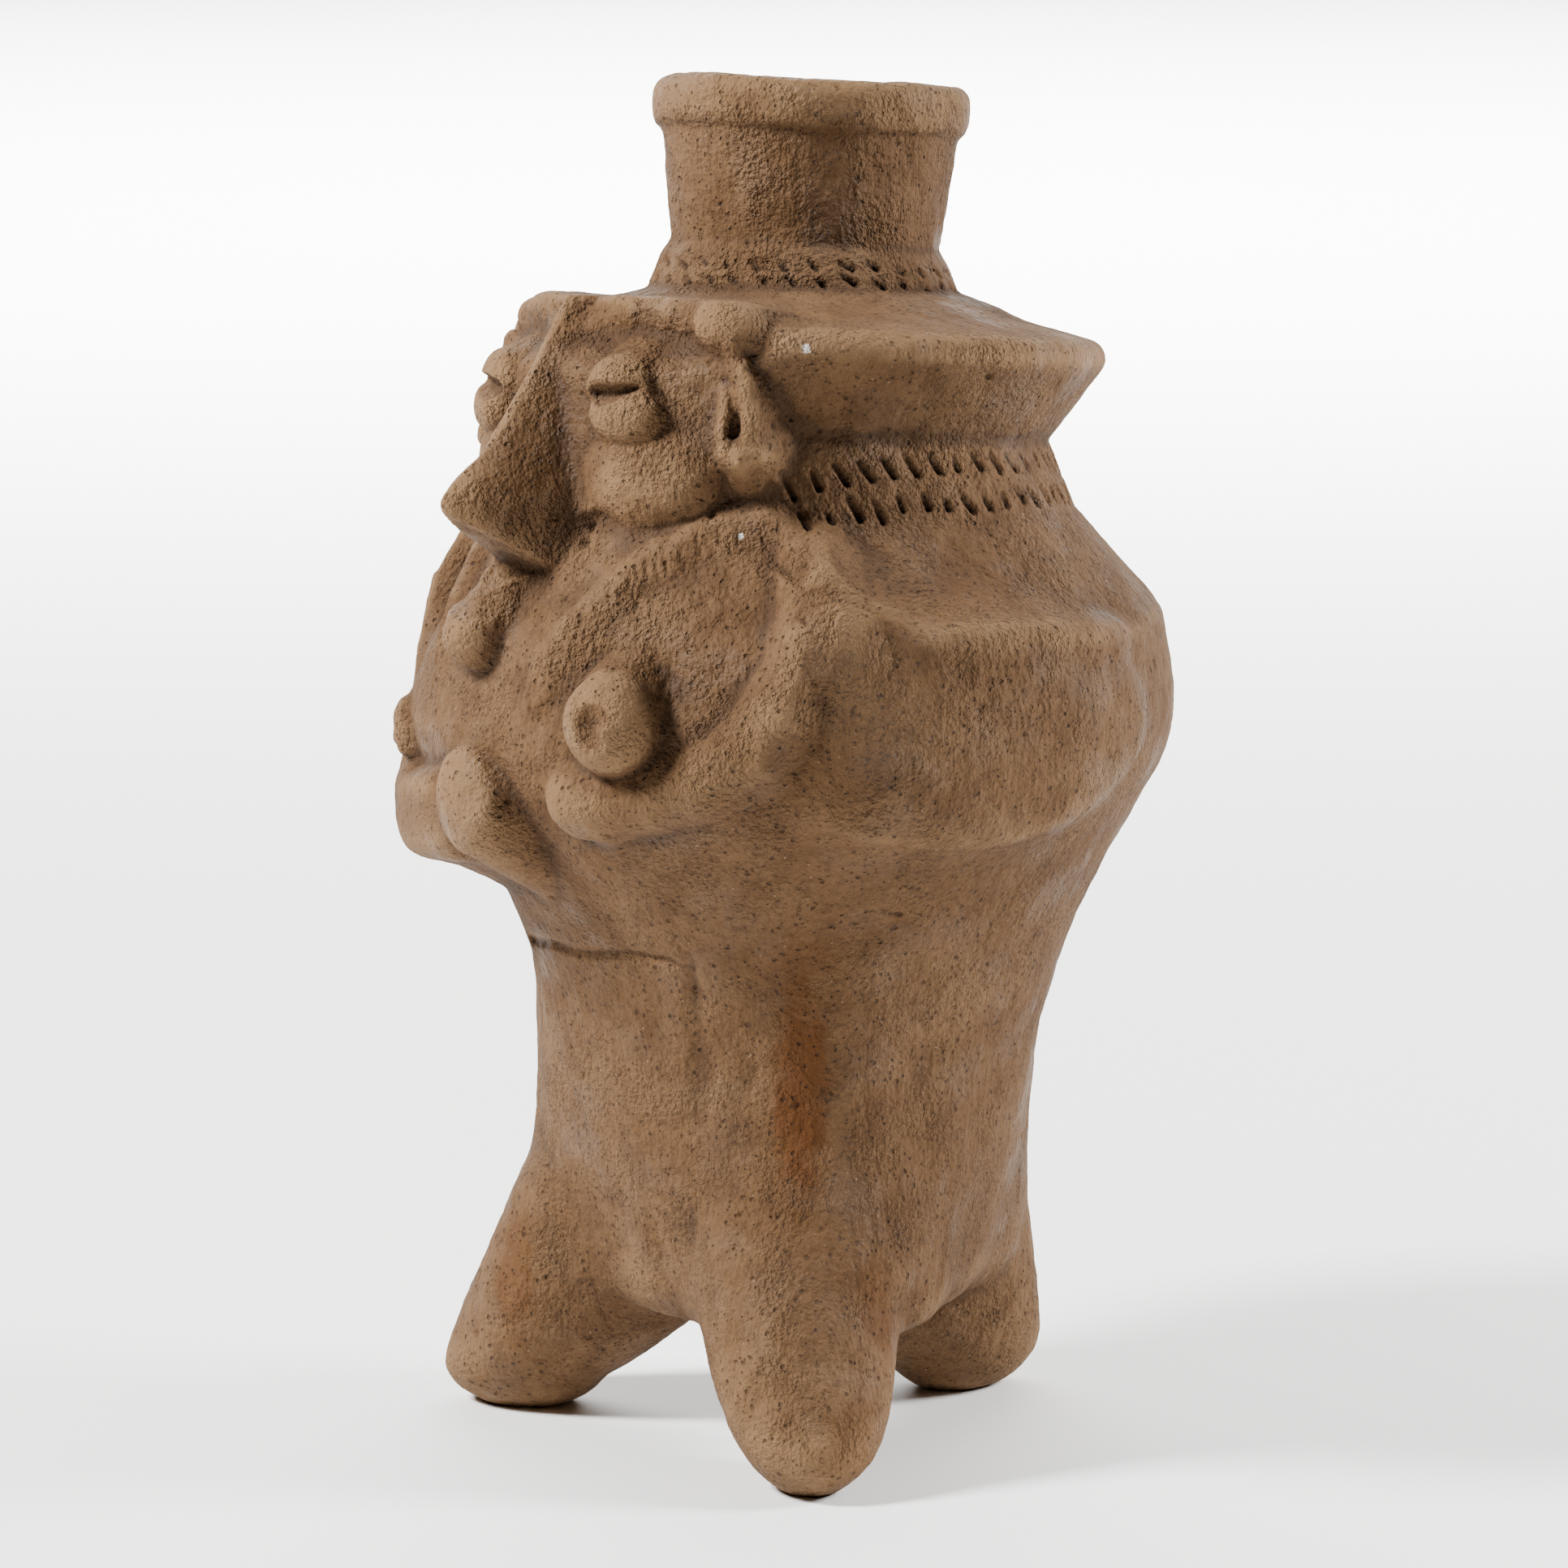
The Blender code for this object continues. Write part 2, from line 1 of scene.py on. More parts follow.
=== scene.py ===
"""A tripod effigy jar of fired clay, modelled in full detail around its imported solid.

The figure faces -Y, its left hand is on +X and +Z is up. A bearing is an angle round the jar in
degrees, 0 at the nose and growing towards the figure's left. The clay is modelled in millimetres
on an upright axis, and only the finished jar is settled, scaled to metres and put in place."""

import math

import bmesh
import bpy
import numpy as np
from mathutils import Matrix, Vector


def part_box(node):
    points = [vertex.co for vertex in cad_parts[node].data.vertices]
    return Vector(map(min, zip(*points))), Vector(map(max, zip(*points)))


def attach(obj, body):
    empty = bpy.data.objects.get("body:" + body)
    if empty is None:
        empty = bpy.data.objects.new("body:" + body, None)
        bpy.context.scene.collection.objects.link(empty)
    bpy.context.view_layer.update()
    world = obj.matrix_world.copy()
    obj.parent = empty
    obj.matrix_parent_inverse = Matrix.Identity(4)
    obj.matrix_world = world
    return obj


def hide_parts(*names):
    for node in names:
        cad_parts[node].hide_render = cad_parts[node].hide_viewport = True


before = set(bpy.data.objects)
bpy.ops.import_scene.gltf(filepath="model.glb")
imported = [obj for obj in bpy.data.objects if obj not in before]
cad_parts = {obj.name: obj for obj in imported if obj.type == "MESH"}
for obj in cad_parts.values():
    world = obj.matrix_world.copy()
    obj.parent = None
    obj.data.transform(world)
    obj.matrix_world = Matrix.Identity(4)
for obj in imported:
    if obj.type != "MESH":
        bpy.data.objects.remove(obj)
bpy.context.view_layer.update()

# THE WALL
# The jar's wall: coils of sandy terracotta, built up on a turned support and thinned by hand to
# about 6 mm, from a round floor up over the waist, belly and neck to the flat hat and its spout.

WALL = 6.0
LIP_OVERHANG, LIP_DEPTH, LIP_TOP, LIP_ROUNDING = 1.9, 9.2, 248.2, 3.6
LIP_SIDE_FOOT, LIP_SETBACK, LIP_SETBACK_FOOT = 2.8, 0.8, 0.5
# Corners of the outline, as radius, height and rounding
SPOUT_TOP = (27.0, 238.0, 1.0)
SPOUT_FOOT = (24.3, 218.6, 1.5)
COLLAR_TOP = (25.6, 216.8, 1.6)
COLLAR_FOOT = (28.0, 211.1, 0.7)
CROWN_EDGE = (27.4, 210.5, 0.6)
SKIRT = (37.0, 207.6, 6.0)
BRIM = (57.9, 202.9, 3.6)
NECK_CREASE = (45.6, 185.4, 0.8)
NECK_FOOT = (50.7, 172.8, 5.0)
SHOULDER = (67.5, 153.2, 8.0)
BELLY = (71.9, 130.6, 27.0)
WAIST = (45.6, 90.0, 75.0)
SEAT = (44.6, 24.0, 9.0)
UNDERSIDE = (0.0, 23.0)
FLOOR_HEIGHT, FLOOR_ROUNDING = 40.0, 18.0
TURN_STEPS, OUTLINE_SPACING = 720, 0.7


def smooth_step(value, low, high):
    """Rises smoothly from 0 at low to 1 at high."""
    part = np.clip((value - low) / (high - low), 0.0, 1.0)
    return part * part * (3.0 - 2.0 * part)


def soft_max(first, second, soft):
    """The larger of two sizes, with the corner between them filled."""
    near = np.clip(1.0 - np.abs(first - second) / soft, 0.0, 1.0)
    return np.maximum(first, second) + soft * near ** 2 / 4.0


def soft_min(first, second, soft):
    """The smaller of two sizes, with the corner between them rounded."""
    return -soft_max(-first, -second, soft)


def rounded_outline(corners, spacing):
    """Points along straight runs whose corners, each (radius, height, rounding), become arcs."""
    points = [np.array(corners[0][:2])]
    for before, corner, after in zip(corners, corners[1:], corners[2:]):
        here = np.array(corner[:2])
        back, onward = np.array(before[:2]) - here, np.array(after[:2]) - here
        back_length, onward_length = np.linalg.norm(back), np.linalg.norm(onward)
        back, onward = back / back_length, onward / onward_length
        half = math.acos(np.clip(back @ onward, -1.0, 1.0)) / 2.0
        reach = min(corner[2] / math.tan(half), 0.48 * back_length, 0.48 * onward_length)
        arc_radius = reach * math.tan(half)
        centre = here + (back + onward) / np.linalg.norm(back + onward) * arc_radius / math.sin(half)
        first, last = here + back * reach - centre, here + onward * reach - centre
        sweep = math.pi - 2.0 * half
        count = max(2, math.ceil(arc_radius * sweep / spacing), math.ceil(sweep / 0.2))
        for part in np.linspace(0.0, 1.0, count + 1):
            spoke = first * math.sin((1.0 - part) * sweep) + last * math.sin(part * sweep)
            points.append(centre + spoke / math.sin(sweep))
    points.append(np.array(corners[-1][:2]))
    spread = [points[0]]
    for start, end in zip(points, points[1:]):
        count = max(1, math.ceil(np.linalg.norm(end - start) / spacing))
        spread += [start + (end - start) * step / count for step in range(1, count + 1)]
    return spread


def wall_inside(corners, thickness):
    """The corners of a run moved square to its lines, towards the inside of the jar."""
    lines = []
    for start, end in zip(corners, corners[1:]):
        run = np.array(end[:2]) - np.array(start[:2])
        run = run / np.linalg.norm(run)
        lines.append((np.array(start[:2]) + np.array([run[1], -run[0]]) * thickness, run))
    moved = [lines[0][0]]
    for (point, run), (next_point, next_run) in zip(lines, lines[1:]):
        gap = next_point - point
        across = run[0] * next_run[1] - run[1] * next_run[0]
        moved.append(point + run * (gap[0] * next_run[1] - gap[1] * next_run[0]) / across)
    return moved


def put(name, data):
    """Puts an object with its data into the scene."""
    made = bpy.data.objects.new(name, data)
    bpy.context.scene.collection.objects.link(made)
    return made


def turned(points, name):
    """Turns a profile round the jar's axis into a closed mesh."""
    mesh = bpy.data.meshes.new(name)
    edges = [(index, index + 1) for index in range(len(points) - 1)]
    mesh.from_pydata([(radius, 0.0, rise) for radius, rise in points], edges, [])
    guide = put(name, mesh)
    screw = guide.modifiers.new("turn", "SCREW")
    screw.steps = screw.render_steps = TURN_STEPS
    screw.use_merge_vertices = True
    screw.merge_threshold = 0.0001
    return plain_mesh(guide)


def plain_mesh(guide):
    """The mesh that an object's modifiers make, without the object."""
    bpy.context.view_layer.update()
    made = bpy.data.meshes.new_from_object(guide.evaluated_get(bpy.context.evaluated_depsgraph_get()))
    bpy.data.objects.remove(guide)
    return made


def places(mesh):
    """A mesh's points as an array."""
    flat = np.empty(len(mesh.vertices) * 3, dtype=np.float32)
    mesh.vertices.foreach_get("co", flat)
    return flat.reshape(-1, 3).astype(float)


def move_to(mesh, points):
    """Puts a mesh's points where an array says."""
    mesh.vertices.foreach_set("co", points.astype(np.float32).ravel())
    mesh.update()


def round_axis(points):
    """How far points are from the jar's axis, and their bearings."""
    return np.hypot(points[:, 0], points[:, 1]), np.degrees(np.arctan2(points[:, 0], -points[:, 1]))


body_line = [CROWN_EDGE, SKIRT, BRIM, NECK_CREASE, NECK_FOOT, SHOULDER, BELLY, WAIST]
inner_line = wall_inside([SPOUT_TOP, SPOUT_FOOT] + body_line
                         + [(SEAT[0], FLOOR_HEIGHT - WALL), (0.0, FLOOR_HEIGHT - WALL)], WALL)
inner_rounding = [0.0, SPOUT_FOOT[2] + WALL] + [corner[2] + WALL for corner in body_line] + [FLOOR_ROUNDING]
profile = [(0.0, FLOOR_HEIGHT)]
profile += [(point[0], point[1], soft) for point, soft in zip(inner_line[:0:-1], inner_rounding[:0:-1])]
lip_radius, lip_foot = SPOUT_TOP[0] + LIP_OVERHANG, LIP_TOP - LIP_DEPTH
profile += [(inner_line[0][0], LIP_TOP, LIP_ROUNDING), (lip_radius, LIP_TOP, LIP_ROUNDING),
            (lip_radius, lip_foot + LIP_SIDE_FOOT, LIP_ROUNDING),
            (lip_radius - LIP_SETBACK, lip_foot + LIP_SETBACK_FOOT, SPOUT_TOP[2]),
            (SPOUT_TOP[0], lip_foot, SPOUT_TOP[2])]
profile += [SPOUT_FOOT, COLLAR_TOP, COLLAR_FOOT] + body_line + [SEAT, UNDERSIDE]
body = turned(rounded_outline(profile, OUTLINE_SPACING), "body")

spots = places(body)
rise = spots[:, 2].copy()
radius, bearing = round_axis(spots)
middle_line = wall_inside([SPOUT_FOOT] + body_line + [SEAT, UNDERSIDE], WALL / 2.0)
middle_line = [(height, out) for out, height in sorted(middle_line, key=lambda point: point[1])]
outer = (radius > np.interp(rise, *zip(*middle_line))) & (rise < LIP_TOP)
carved = radius.copy()


# THE FACE AND THE HAT
# The face: clay pressed onto the neck under the hat's front, with pellets for the eyes and ears
# and a pinched wedge for the nose. All of it was shaped with the fingers and left rough.

FACE_TOP, FACE_RADIUS, FACE_FOOT, FACE_SLOPE, FACE_SIDE_FADE = 202.0, 54.0, 46.0, 2.6, (42.0, 49.0)
# The jaw, as bearing and height, from under the nose to behind the ear
JAW_LINE = [(0.0, 165.0), (15.0, 169.4), (26.0, 170.0), (35.0, 172.4), (42.0, 176.6), (53.0, 181.0),
    (67.0, 184.0), (90.0, 185.0)]
# The crown's front, as height and radius
CROWN = [(193.0, 56.2), (196.4, 53.6), (199.0, 51.4), (201.2, 50.0), (202.4, 48.8), (203.7, 47.4),
    (204.9, 45.6), (206.2, 42.8), (210.0, 41.0)]
# Bearings where the crown's front ends, and heights where it sets in
CROWN_FADE, CROWN_LIFT_FADE, CROWN_RISE = (40.0, 54.0), (40.0, 56.0), (190.0, 196.0)
CROWN_LIFT, SKIRT_LIFT, SKIRT_MEAN = 1.8, 0.9, 0.35
# The nose's ridge and its underside, as height and radius
NOSE_RIDGE = [(163.0, 76.2), (173.2, 75.2), (176.3, 72.2), (178.6, 68.8), (181.1, 66.0), (185.4, 63.2),
    (190.9, 59.6), (196.5, 56.0), (203.0, 52.4), (210.0, 48.0)]
NOSE_UNDER = [(152.0, 0.0), (160.0, 50.0), (164.0, 59.3), (173.6, 79.0), (180.0, 93.0)]
NOSE_BLUNT, NOSE_GIRTH, NOSE_HALF, NOSE_SPREAD, NOSE_WIDEST = 0.27, 60.0, 3.4, 0.20, 12.0
NOSE_BASE, NOSE_TOP = 50.0, 206.0
# A roll or a groove is a path of (bearing, height, crest radius, half width), its softness or
# depth, the radius it is measured at and its sharpness. A dent is its (bearing, height), half
# sizes, depth and that radius. A pellet is its (bearing, height), half sizes, crest radius,
# softness, that radius, depth and sharpness.
EYE_TOP = ((20.0, 192.0), (7.8, 5.2), 58.6, 0.7, 58.0, 5.0)
EYE_FOOT = ((22.0, 187.4), (8.0, 5.2), 59.0, 0.5, 58.0, 5.0, 1.4)
SLIT = ([(15.4, 190.8, 0.0, 1.3), (18.0, 190.6, 0.0, 2.4), (20.6, 190.9, 0.0, 1.9),
    (25.0, 192.0, 0.0, 0.7)], 3.2, 59.0)
SOCKET = ((21.0, 198.6), (19.0, 4.4), 3.2, 56.0)
BROW = ([(3.0, 203.4, 48.2, 2.4), (14.0, 204.0, 48.6, 2.8), (24.0, 203.4, 48.8, 3.0),
    (33.0, 202.6, 49.8, 3.2), (41.0, 201.8, 51.8, 3.4)], 1.2, 56.0)
KNOB = ((41.6, 202.4), (8.0, 5.0), 56.4, 2.6, 58.0)
EAR_OUTER = [(43.0, 197.2, 54.8, 2.4), (45.6, 193.2, 57.2, 2.2), (46.8, 189.0, 58.2, 1.8),
    (46.6, 184.6, 58.2, 2.1)]
EAR_INNER = [(42.0, 191.0, 56.8, 1.4), (42.4, 188.4, 57.6, 1.6), (41.8, 185.2, 57.6, 1.4)]
EAR_LOBE = [(42.8, 182.4, 58.6, 1.8), (45.4, 181.6, 59.4, 2.4), (48.0, 182.4, 58.4, 1.9)]
EAR_HOLE = ((44.2, 186.4), (1.3, 2.4), 3.2, 58.0)
FACE_PITS, FACE_PIT = [(12.6, 169.6), (13.0, 167.4)], ((1.1, 1.1), 2.4, 58.0)
CHEEK = ((25.5, 178.0), (14.5, 8.6), 57.2, 2.0, 56.0, 6.0)


def dome(reach, sharp=1.0):
    """A round dome over reach 0 to 1, flatter on top and steeper at its edge as it gets sharp."""
    return np.sqrt(np.clip(1.0 - np.abs(reach) ** (2.0 * sharp), 0.0, 1.0))


def path_on(side, level, girth, path):
    """The nearest place on a path over the surface: its distance, crest radius and half width."""
    across = np.radians(side) * girth
    nearest, crest, half = np.full(side.shape, np.inf), np.zeros(side.shape), np.ones(side.shape)
    for start, end in zip(path, path[1:]):
        first = np.array([math.radians(start[0]) * girth, start[1]])
        run = np.array([math.radians(end[0]) * girth, end[1]]) - first
        part = ((across - first[0]) * run[0] + (level - first[1]) * run[1]) / (run @ run)
        part = np.clip(part, 0.0, 1.0)
        width = start[3] + (end[3] - start[3]) * part
        distance = np.hypot(across - first[0] - run[0] * part, level - first[1] - run[1] * part)
        closer = distance - width < nearest
        nearest = np.where(closer, distance - width, nearest)
        crest = np.where(closer, start[2] + (end[2] - start[2]) * part, crest)
        half = np.where(closer, width, half)
    return nearest + half, crest, half


def roll(base, side, level, path, soft, girth=66.0, sharp=1.0):
    """Lays a roll of clay along a path over a base radius."""
    distance, crest, half = path_on(side, level, girth, path)
    reach = distance / half
    bulge = crest - half * np.where(reach < 1.0, 1.0 - dome(reach, sharp), 2.0 * reach - 1.0)
    return soft_max(base, bulge, soft)


def pellet(base, side, level, place, size, crest, soft, girth=66.0, depth=None, sharp=1.0):
    """Presses an oval pellet, of half width and half height, on a place."""
    reach = np.hypot(np.radians(side - place[0]) * girth / size[0], (level - place[1]) / size[1])
    depth = min(size) if depth is None else depth
    bulge = crest - depth * (1.0 - dome(reach, sharp)) - 2.0 * min(size) * np.clip(reach - 1.0, 0.0, None)
    return soft_max(base, bulge, soft)


def dent(side, level, place, size, depth, girth=66.0):
    """How deep an oval dent goes in at each point."""
    reach = np.hypot(np.radians(side - place[0]) * girth / size[0], (level - place[1]) / size[1])
    return depth * np.clip(1.0 - reach ** 2, 0.0, 1.0)


def press(base, side, level, path, depth, girth):
    """Presses a groove along a path."""
    distance, _, half = path_on(side, level, girth, path)
    return base - depth * np.clip(1.0 - (distance / half) ** 2, 0.0, 1.0)


def face_fill(base, side, level):
    """Fills the front between the hat's brim and the jaw, and tapers off behind the ears."""
    foot = np.interp(np.abs(side), *zip(*JAW_LINE))
    fill = soft_min(FACE_FOOT + (level - foot) * FACE_SLOPE, FACE_RADIUS, 3.0)
    reach = 1.0 - smooth_step(level, FACE_TOP - 3.0, FACE_TOP + 1.0)
    reach *= 1.0 - smooth_step(np.abs(side), *FACE_SIDE_FADE)
    filled = soft_max(base, np.where(level > foot - 3.0, fill, 0.0), 1.2)
    return base + (filled - base) * reach


def round_crown(base, side, level):
    """Rounds the hat over the forehead, where it has no brim."""
    limit = np.interp(level, *zip(*CROWN))
    reach = (1.0 - smooth_step(np.abs(side), *CROWN_FADE)) * smooth_step(level, *CROWN_RISE)
    return base + (soft_min(base, limit, 1.5) - base) * reach


def nose(base, side, level):
    """A wedge with a rounded ridge, flat sides and a flat triangle below its tip."""
    across = np.abs(np.radians(side)) * NOSE_GIRTH
    ridge = np.interp(level, *zip(*NOSE_RIDGE))
    half = np.clip(NOSE_HALF + NOSE_SPREAD * (FACE_TOP - level), NOSE_HALF, NOSE_WIDEST)
    fall = np.sqrt((across / half) ** 2 + NOSE_BLUNT ** 2) - NOSE_BLUNT
    sides = ridge - np.maximum(ridge - NOSE_BASE, 4.0) * fall
    under = np.interp(level, *zip(*NOSE_UNDER))
    return soft_max(base, np.where(level < NOSE_TOP, soft_min(sides, under, 1.6), 0.0), 1.6)


def face(base, side, level):
    """One side's half of the face."""
    base = base - dent(side, level, *SOCKET)
    base = pellet(base, side, level, *CHEEK)
    base = roll(base, side, level, *BROW)
    base = pellet(base, side, level, *EYE_FOOT)
    base = pellet(base, side, level, *EYE_TOP)
    base = press(base, side, level, *SLIT)
    for strip in (EAR_OUTER, EAR_INNER, EAR_LOBE):
        base = roll(base, side, level, strip, 0.6, 58.0)
    return base - dent(side, level, *EAR_HOLE)


# THE ARMS, BREASTS AND CHIN
# Rolls and pellets of clay stuck on the belly's shoulder: thin arms that bend to the chest, a
# breast on each side, the right one worn to a stump, a chin and a collar of beads in one ridge.

CHIN = ([(0.0, 164.0, 60.5, 4.4), (-0.6, 160.0, 66.0, 5.6), (-1.2, 155.2, 72.2, 6.4),
    (-1.6, 152.8, 72.8, 6.2)], 2.0)
NECKLACE = [(52.0, 170.6, 52.6, 3.4), (40.0, 169.4, 54.8, 3.4), (30.0, 165.4, 58.6, 3.6),
    (23.4, 160.6, 62.4, 3.8), (18.6, 155.0, 66.6, 3.8), (15.4, 149.4, 68.6, 3.6),
    (13.8, 142.6, 69.2, 3.2)]
NECKLACE_SOFTNESS, NECKLACE_GIRTH = 3.2, 62.0
RIGHT_NECKLACE = [(turn, level, crest - 2.0, half) for turn, level, crest, half in NECKLACE]
UPPER_ARM = ([(55.6, 166.2, 59.6, 3.4), (56.6, 163.4, 65.4, 4.6), (57.0, 157.6, 70.8, 5.0),
    (56.0, 150.0, 73.4, 6.2), (53.6, 142.5, 74.0, 8.0)], 2.6, 66.0, 0.6)
FOREARM = ([(53.6, 142.5, 73.8, 8.0), (50.0, 135.8, 73.4, 9.0), (42.0, 131.2, 72.8, 7.6),
    (34.0, 128.2, 72.6, 7.0), (26.0, 126.8, 73.2, 7.9), (22.6, 127.0, 73.2, 8.2)], 1.4)
RIGHT_ARM = ([(-57.0, 163.6, 66.0, 4.6), (-57.2, 155.0, 71.6, 5.6), (-54.0, 141.0, 73.0, 7.4),
    (-47.0, 124.0, 72.6, 8.6), (-36.0, 117.6, 72.8, 9.0), (-22.0, 117.2, 73.6, 9.2),
    (-8.0, 119.8, 74.4, 9.2)], 1.5, 66.0, 2.0)
RIGHT_HAND = ((1.5, 123.6), (8.8, 10.2), 76.0, 1.2, 72.0, 5.0)
SHOULDER_RIDGE = ([(60.0, 163.4, 66.4, 3.6), (66.0, 158.4, 69.0, 3.8), (76.0, 155.0, 70.6, 4.0),
    (97.0, 153.6, 70.6, 4.2), (114.0, 151.6, 69.4, 4.2), (134.0, 147.0, 66.0, 4.0)], 3.0)
ARMPIT = ((62.5, 152.5), (8.0, 9.0), 71.6, 3.0, 66.0, 4.0)
FLANK = ((84.0, 138.0), (42.0, 20.0), 71.8, 6.0, 66.0, 5.0)
CHEST, HOLLOW = ((0.0, 149.0), (52.0, 16.0), 1.8), ((38.0, 150.0), (19.0, 17.0), 2.2)
RIGHT_HOLLOW = ((-34.0, 159.0), (30.0, 14.0), 4.6)
LEFT_BREAST = ((29.0, 141.0), (8.3, 9.4), 79.0, 0.8, 70.0, 9.0, 1.1)
RIGHT_BREAST = ((-31.0, 131.4), (7.4, 6.6), 73.2, 1.0, 70.0, 6.0, 1.6)
NIPPLE, NIPPLE_HEART = ((29.0, 141.6), (3.3, 4.2), 2.2, 74.0), ((30.4, 140.8), (1.6, 2.2), 1.6, 74.0)


def figure(base, side, level):
    """The whole figure modelled on the wall's radius."""
    base = base - dent(side, level, *CHEST)
    base = base - dent(side, level, *RIGHT_HOLLOW)
    base = face_fill(base, side, level)
    base = round_crown(base, side, level)
    for turn in (side, -side):
        base = pellet(base, turn, level, *FLANK)
        base = base - dent(turn, level, *HOLLOW)
        base = face(base, turn, level)
        base = roll(base, turn, level, *SHOULDER_RIDGE)
    base = pellet(base, side, level, *KNOB)
    for turn, beads in ((side, NECKLACE), (-side, RIGHT_NECKLACE)):
        base = roll(base, turn, level, beads, NECKLACE_SOFTNESS, NECKLACE_GIRTH)
    base = roll(base, side, level, *CHIN)
    base = nose(base, side, level)
    for pit in FACE_PITS:
        base = base - dent(side, level, pit, *FACE_PIT)
    base = pellet(base, side, level, *ARMPIT)
    base = roll(base, side, level, *UPPER_ARM)
    base = roll(base, side, level, *FOREARM)
    base = roll(base, side, level, *RIGHT_ARM)
    base = pellet(base, side, level, *RIGHT_HAND)
    base = pellet(base, side, level, *LEFT_BREAST)
    base = base - dent(side, level, *NIPPLE)
    base = base + dent(side, level, *NIPPLE_HEART)
    return pellet(base, side, level, *RIGHT_BREAST)


# THE LEGS
# Three blunt solid legs, rolled and pressed on while the clay was soft and smeared up into the
# wall, so that each one runs on as a ridge. A belt line and a seam were drawn with a stick.

# Bearing of each leg, its middle's distance from the feet's centre at the ankle and the hip, and
# how square its foot is
LEGS = [(65.4, 46.5, 26.0, 1.0), (-56.5, 48.6, 24.6, 1.35), (185.6, 48.2, 37.0, 1.2)]
ANKLE_HEIGHT, HIP_HEIGHT, LEG_DEPTH, LEG_WIDTH, FOOT_RISE, CALF_RISE = 6.0, 60.0, 17.0, 17.0, 14.0, 28.0
SOLE_DEPTH, BODY_SHIFT, LEG_RINGS = 1.2, 6.2, 90
# How much wider a leg gets, and deeper on its inner side, and between which heights
LEG_FLARE, FLARE_RISE, INNER_FLARE, INNER_FLARE_RISE = 0.08, (14.0, 40.0), 0.8, (3.0, 24.0)
# Shares of the hip's height from which a leg's hidden top is rounded, and over which
TOP_FOOT, TOP_SHARE = 0.72, 0.28
# The ridge above each leg, as height and half width
THIGH_LINE, THIGH_SOFTNESS, THIGH_GIRTH = [(26.0, 19.0), (44.0, 23.0), (62.0, 24.0), (90.0, 18.0)], 11.0, 50.0
# How far the seat is drawn in between the legs, as height and depth, and how far off a leg
SADDLE = [(20.0, 9.0), (30.0, 8.5), (40.0, 7.0), (52.0, 4.2), (66.0, 1.8), (84.0, 0.0)]
SADDLE_REACH = (20.0, 48.0)
BELT = ([(-24.0, 92.4, 0.0, 1.0), (-8.0, 94.4, 0.0, 1.2), (6.0, 94.4, 0.0, 1.0), (18.0, 96.0, 0.0, 1.3),
    (29.0, 95.8, 0.0, 0.9), (34.5, 94.2, 0.0, 0.4)], 1.3, 48.0)
SEAM = ([(34.5, 98.0, 0.0, 0.5), (34.5, 86.0, 0.0, 3.0), (34.0, 74.0, 0.0, 3.6), (32.0, 58.0, 0.0, 4.4),
    (30.5, 44.0, 0.0, 5.0)], 0.8, 48.0)
BACK_FULL, FRONT_FULL = ((143.0, 99.0), (44.0, 22.0), 1.2, 52.0), ((-32.0, 69.0), (26.0, 20.0), 1.4, 46.0)


def leg_middle(level, leg):
    """How far a leg's middle is from the feet's centre at a height."""
    climb = np.clip((level - ANKLE_HEIGHT) / (HIP_HEIGHT - ANKLE_HEIGHT), 0.0, 1.0)
    return leg[1] + (leg[2] - leg[1]) * climb


def from_leg(side, leg):
    """Bearings counted from a leg's own."""
    return (side - leg[0] + 180.0) % 360.0 - 180.0


def thighs(base, side, level):
    """Carries each leg's outer edge up the wall as a ridge."""
    for leg in LEGS:
        shift = LEG_DEPTH + BODY_SHIFT * math.cos(math.radians(leg[0]))
        path = [(0.0, rung, max(leg_middle(rung, leg) + shift, WAIST[0]), half) for rung, half in THIGH_LINE]
        base = roll(base, from_leg(side, leg), level, path, THIGH_SOFTNESS, THIGH_GIRTH)
    return base


def saddle(side, level):
    """How far the seat is drawn in between two legs, where they were pulled out of it."""
    off = np.min([np.abs(from_leg(side, leg)) for leg in LEGS], axis=0)
    return np.interp(level, *zip(*SADDLE)) * smooth_step(off, *SADDLE_REACH)


def make_leg(leg):
    """A blunt leg, rounded like a toe, that leans in towards the hip."""
    levels = np.linspace(HIP_HEIGHT, -SOLE_DEPTH, LEG_RINGS)
    mesh = turned([(0.0, HIP_HEIGHT)] + [(1.0, level) for level in levels[1:-1]] + [(0.0, levels[-1])], "leg")
    unit = places(mesh)
    level = unit[:, 2]
    off_sole = level + SOLE_DEPTH
    depth = LEG_DEPTH * dome(1.0 - np.clip(off_sole / FOOT_RISE, 0.0, 1.0), leg[3])
    width = LEG_WIDTH * dome(1.0 - np.clip(off_sole / CALF_RISE, 0.0, 1.0), leg[3])
    width *= 1.0 + LEG_FLARE * smooth_step(level, *FLARE_RISE)
    deeper = 1.0 + INNER_FLARE * smooth_step(level, *INNER_FLARE_RISE)
    depth = np.where(unit[:, 0] < 0.0, depth * deeper, depth)
    top = np.where(level > TOP_FOOT * HIP_HEIGHT, dome((level / HIP_HEIGHT - TOP_FOOT) / TOP_SHARE), 1.0)
    out, across = unit[:, 0] * depth * top + leg_middle(level, leg), unit[:, 1] * width * top
    turn = math.radians(leg[0])
    x = out * math.sin(turn) + across * math.cos(turn)
    y = -out * math.cos(turn) + across * math.sin(turn) - BODY_SHIFT
    cavity = (WAIST[0] - WALL / 2.0) * smooth_step(level, FLOOR_HEIGHT - WALL, FLOOR_HEIGHT)
    push = np.maximum(np.hypot(x, y), cavity) / np.maximum(np.hypot(x, y), 1e-6)
    move_to(mesh, np.column_stack([x * push, y * push, level]))
    return mesh


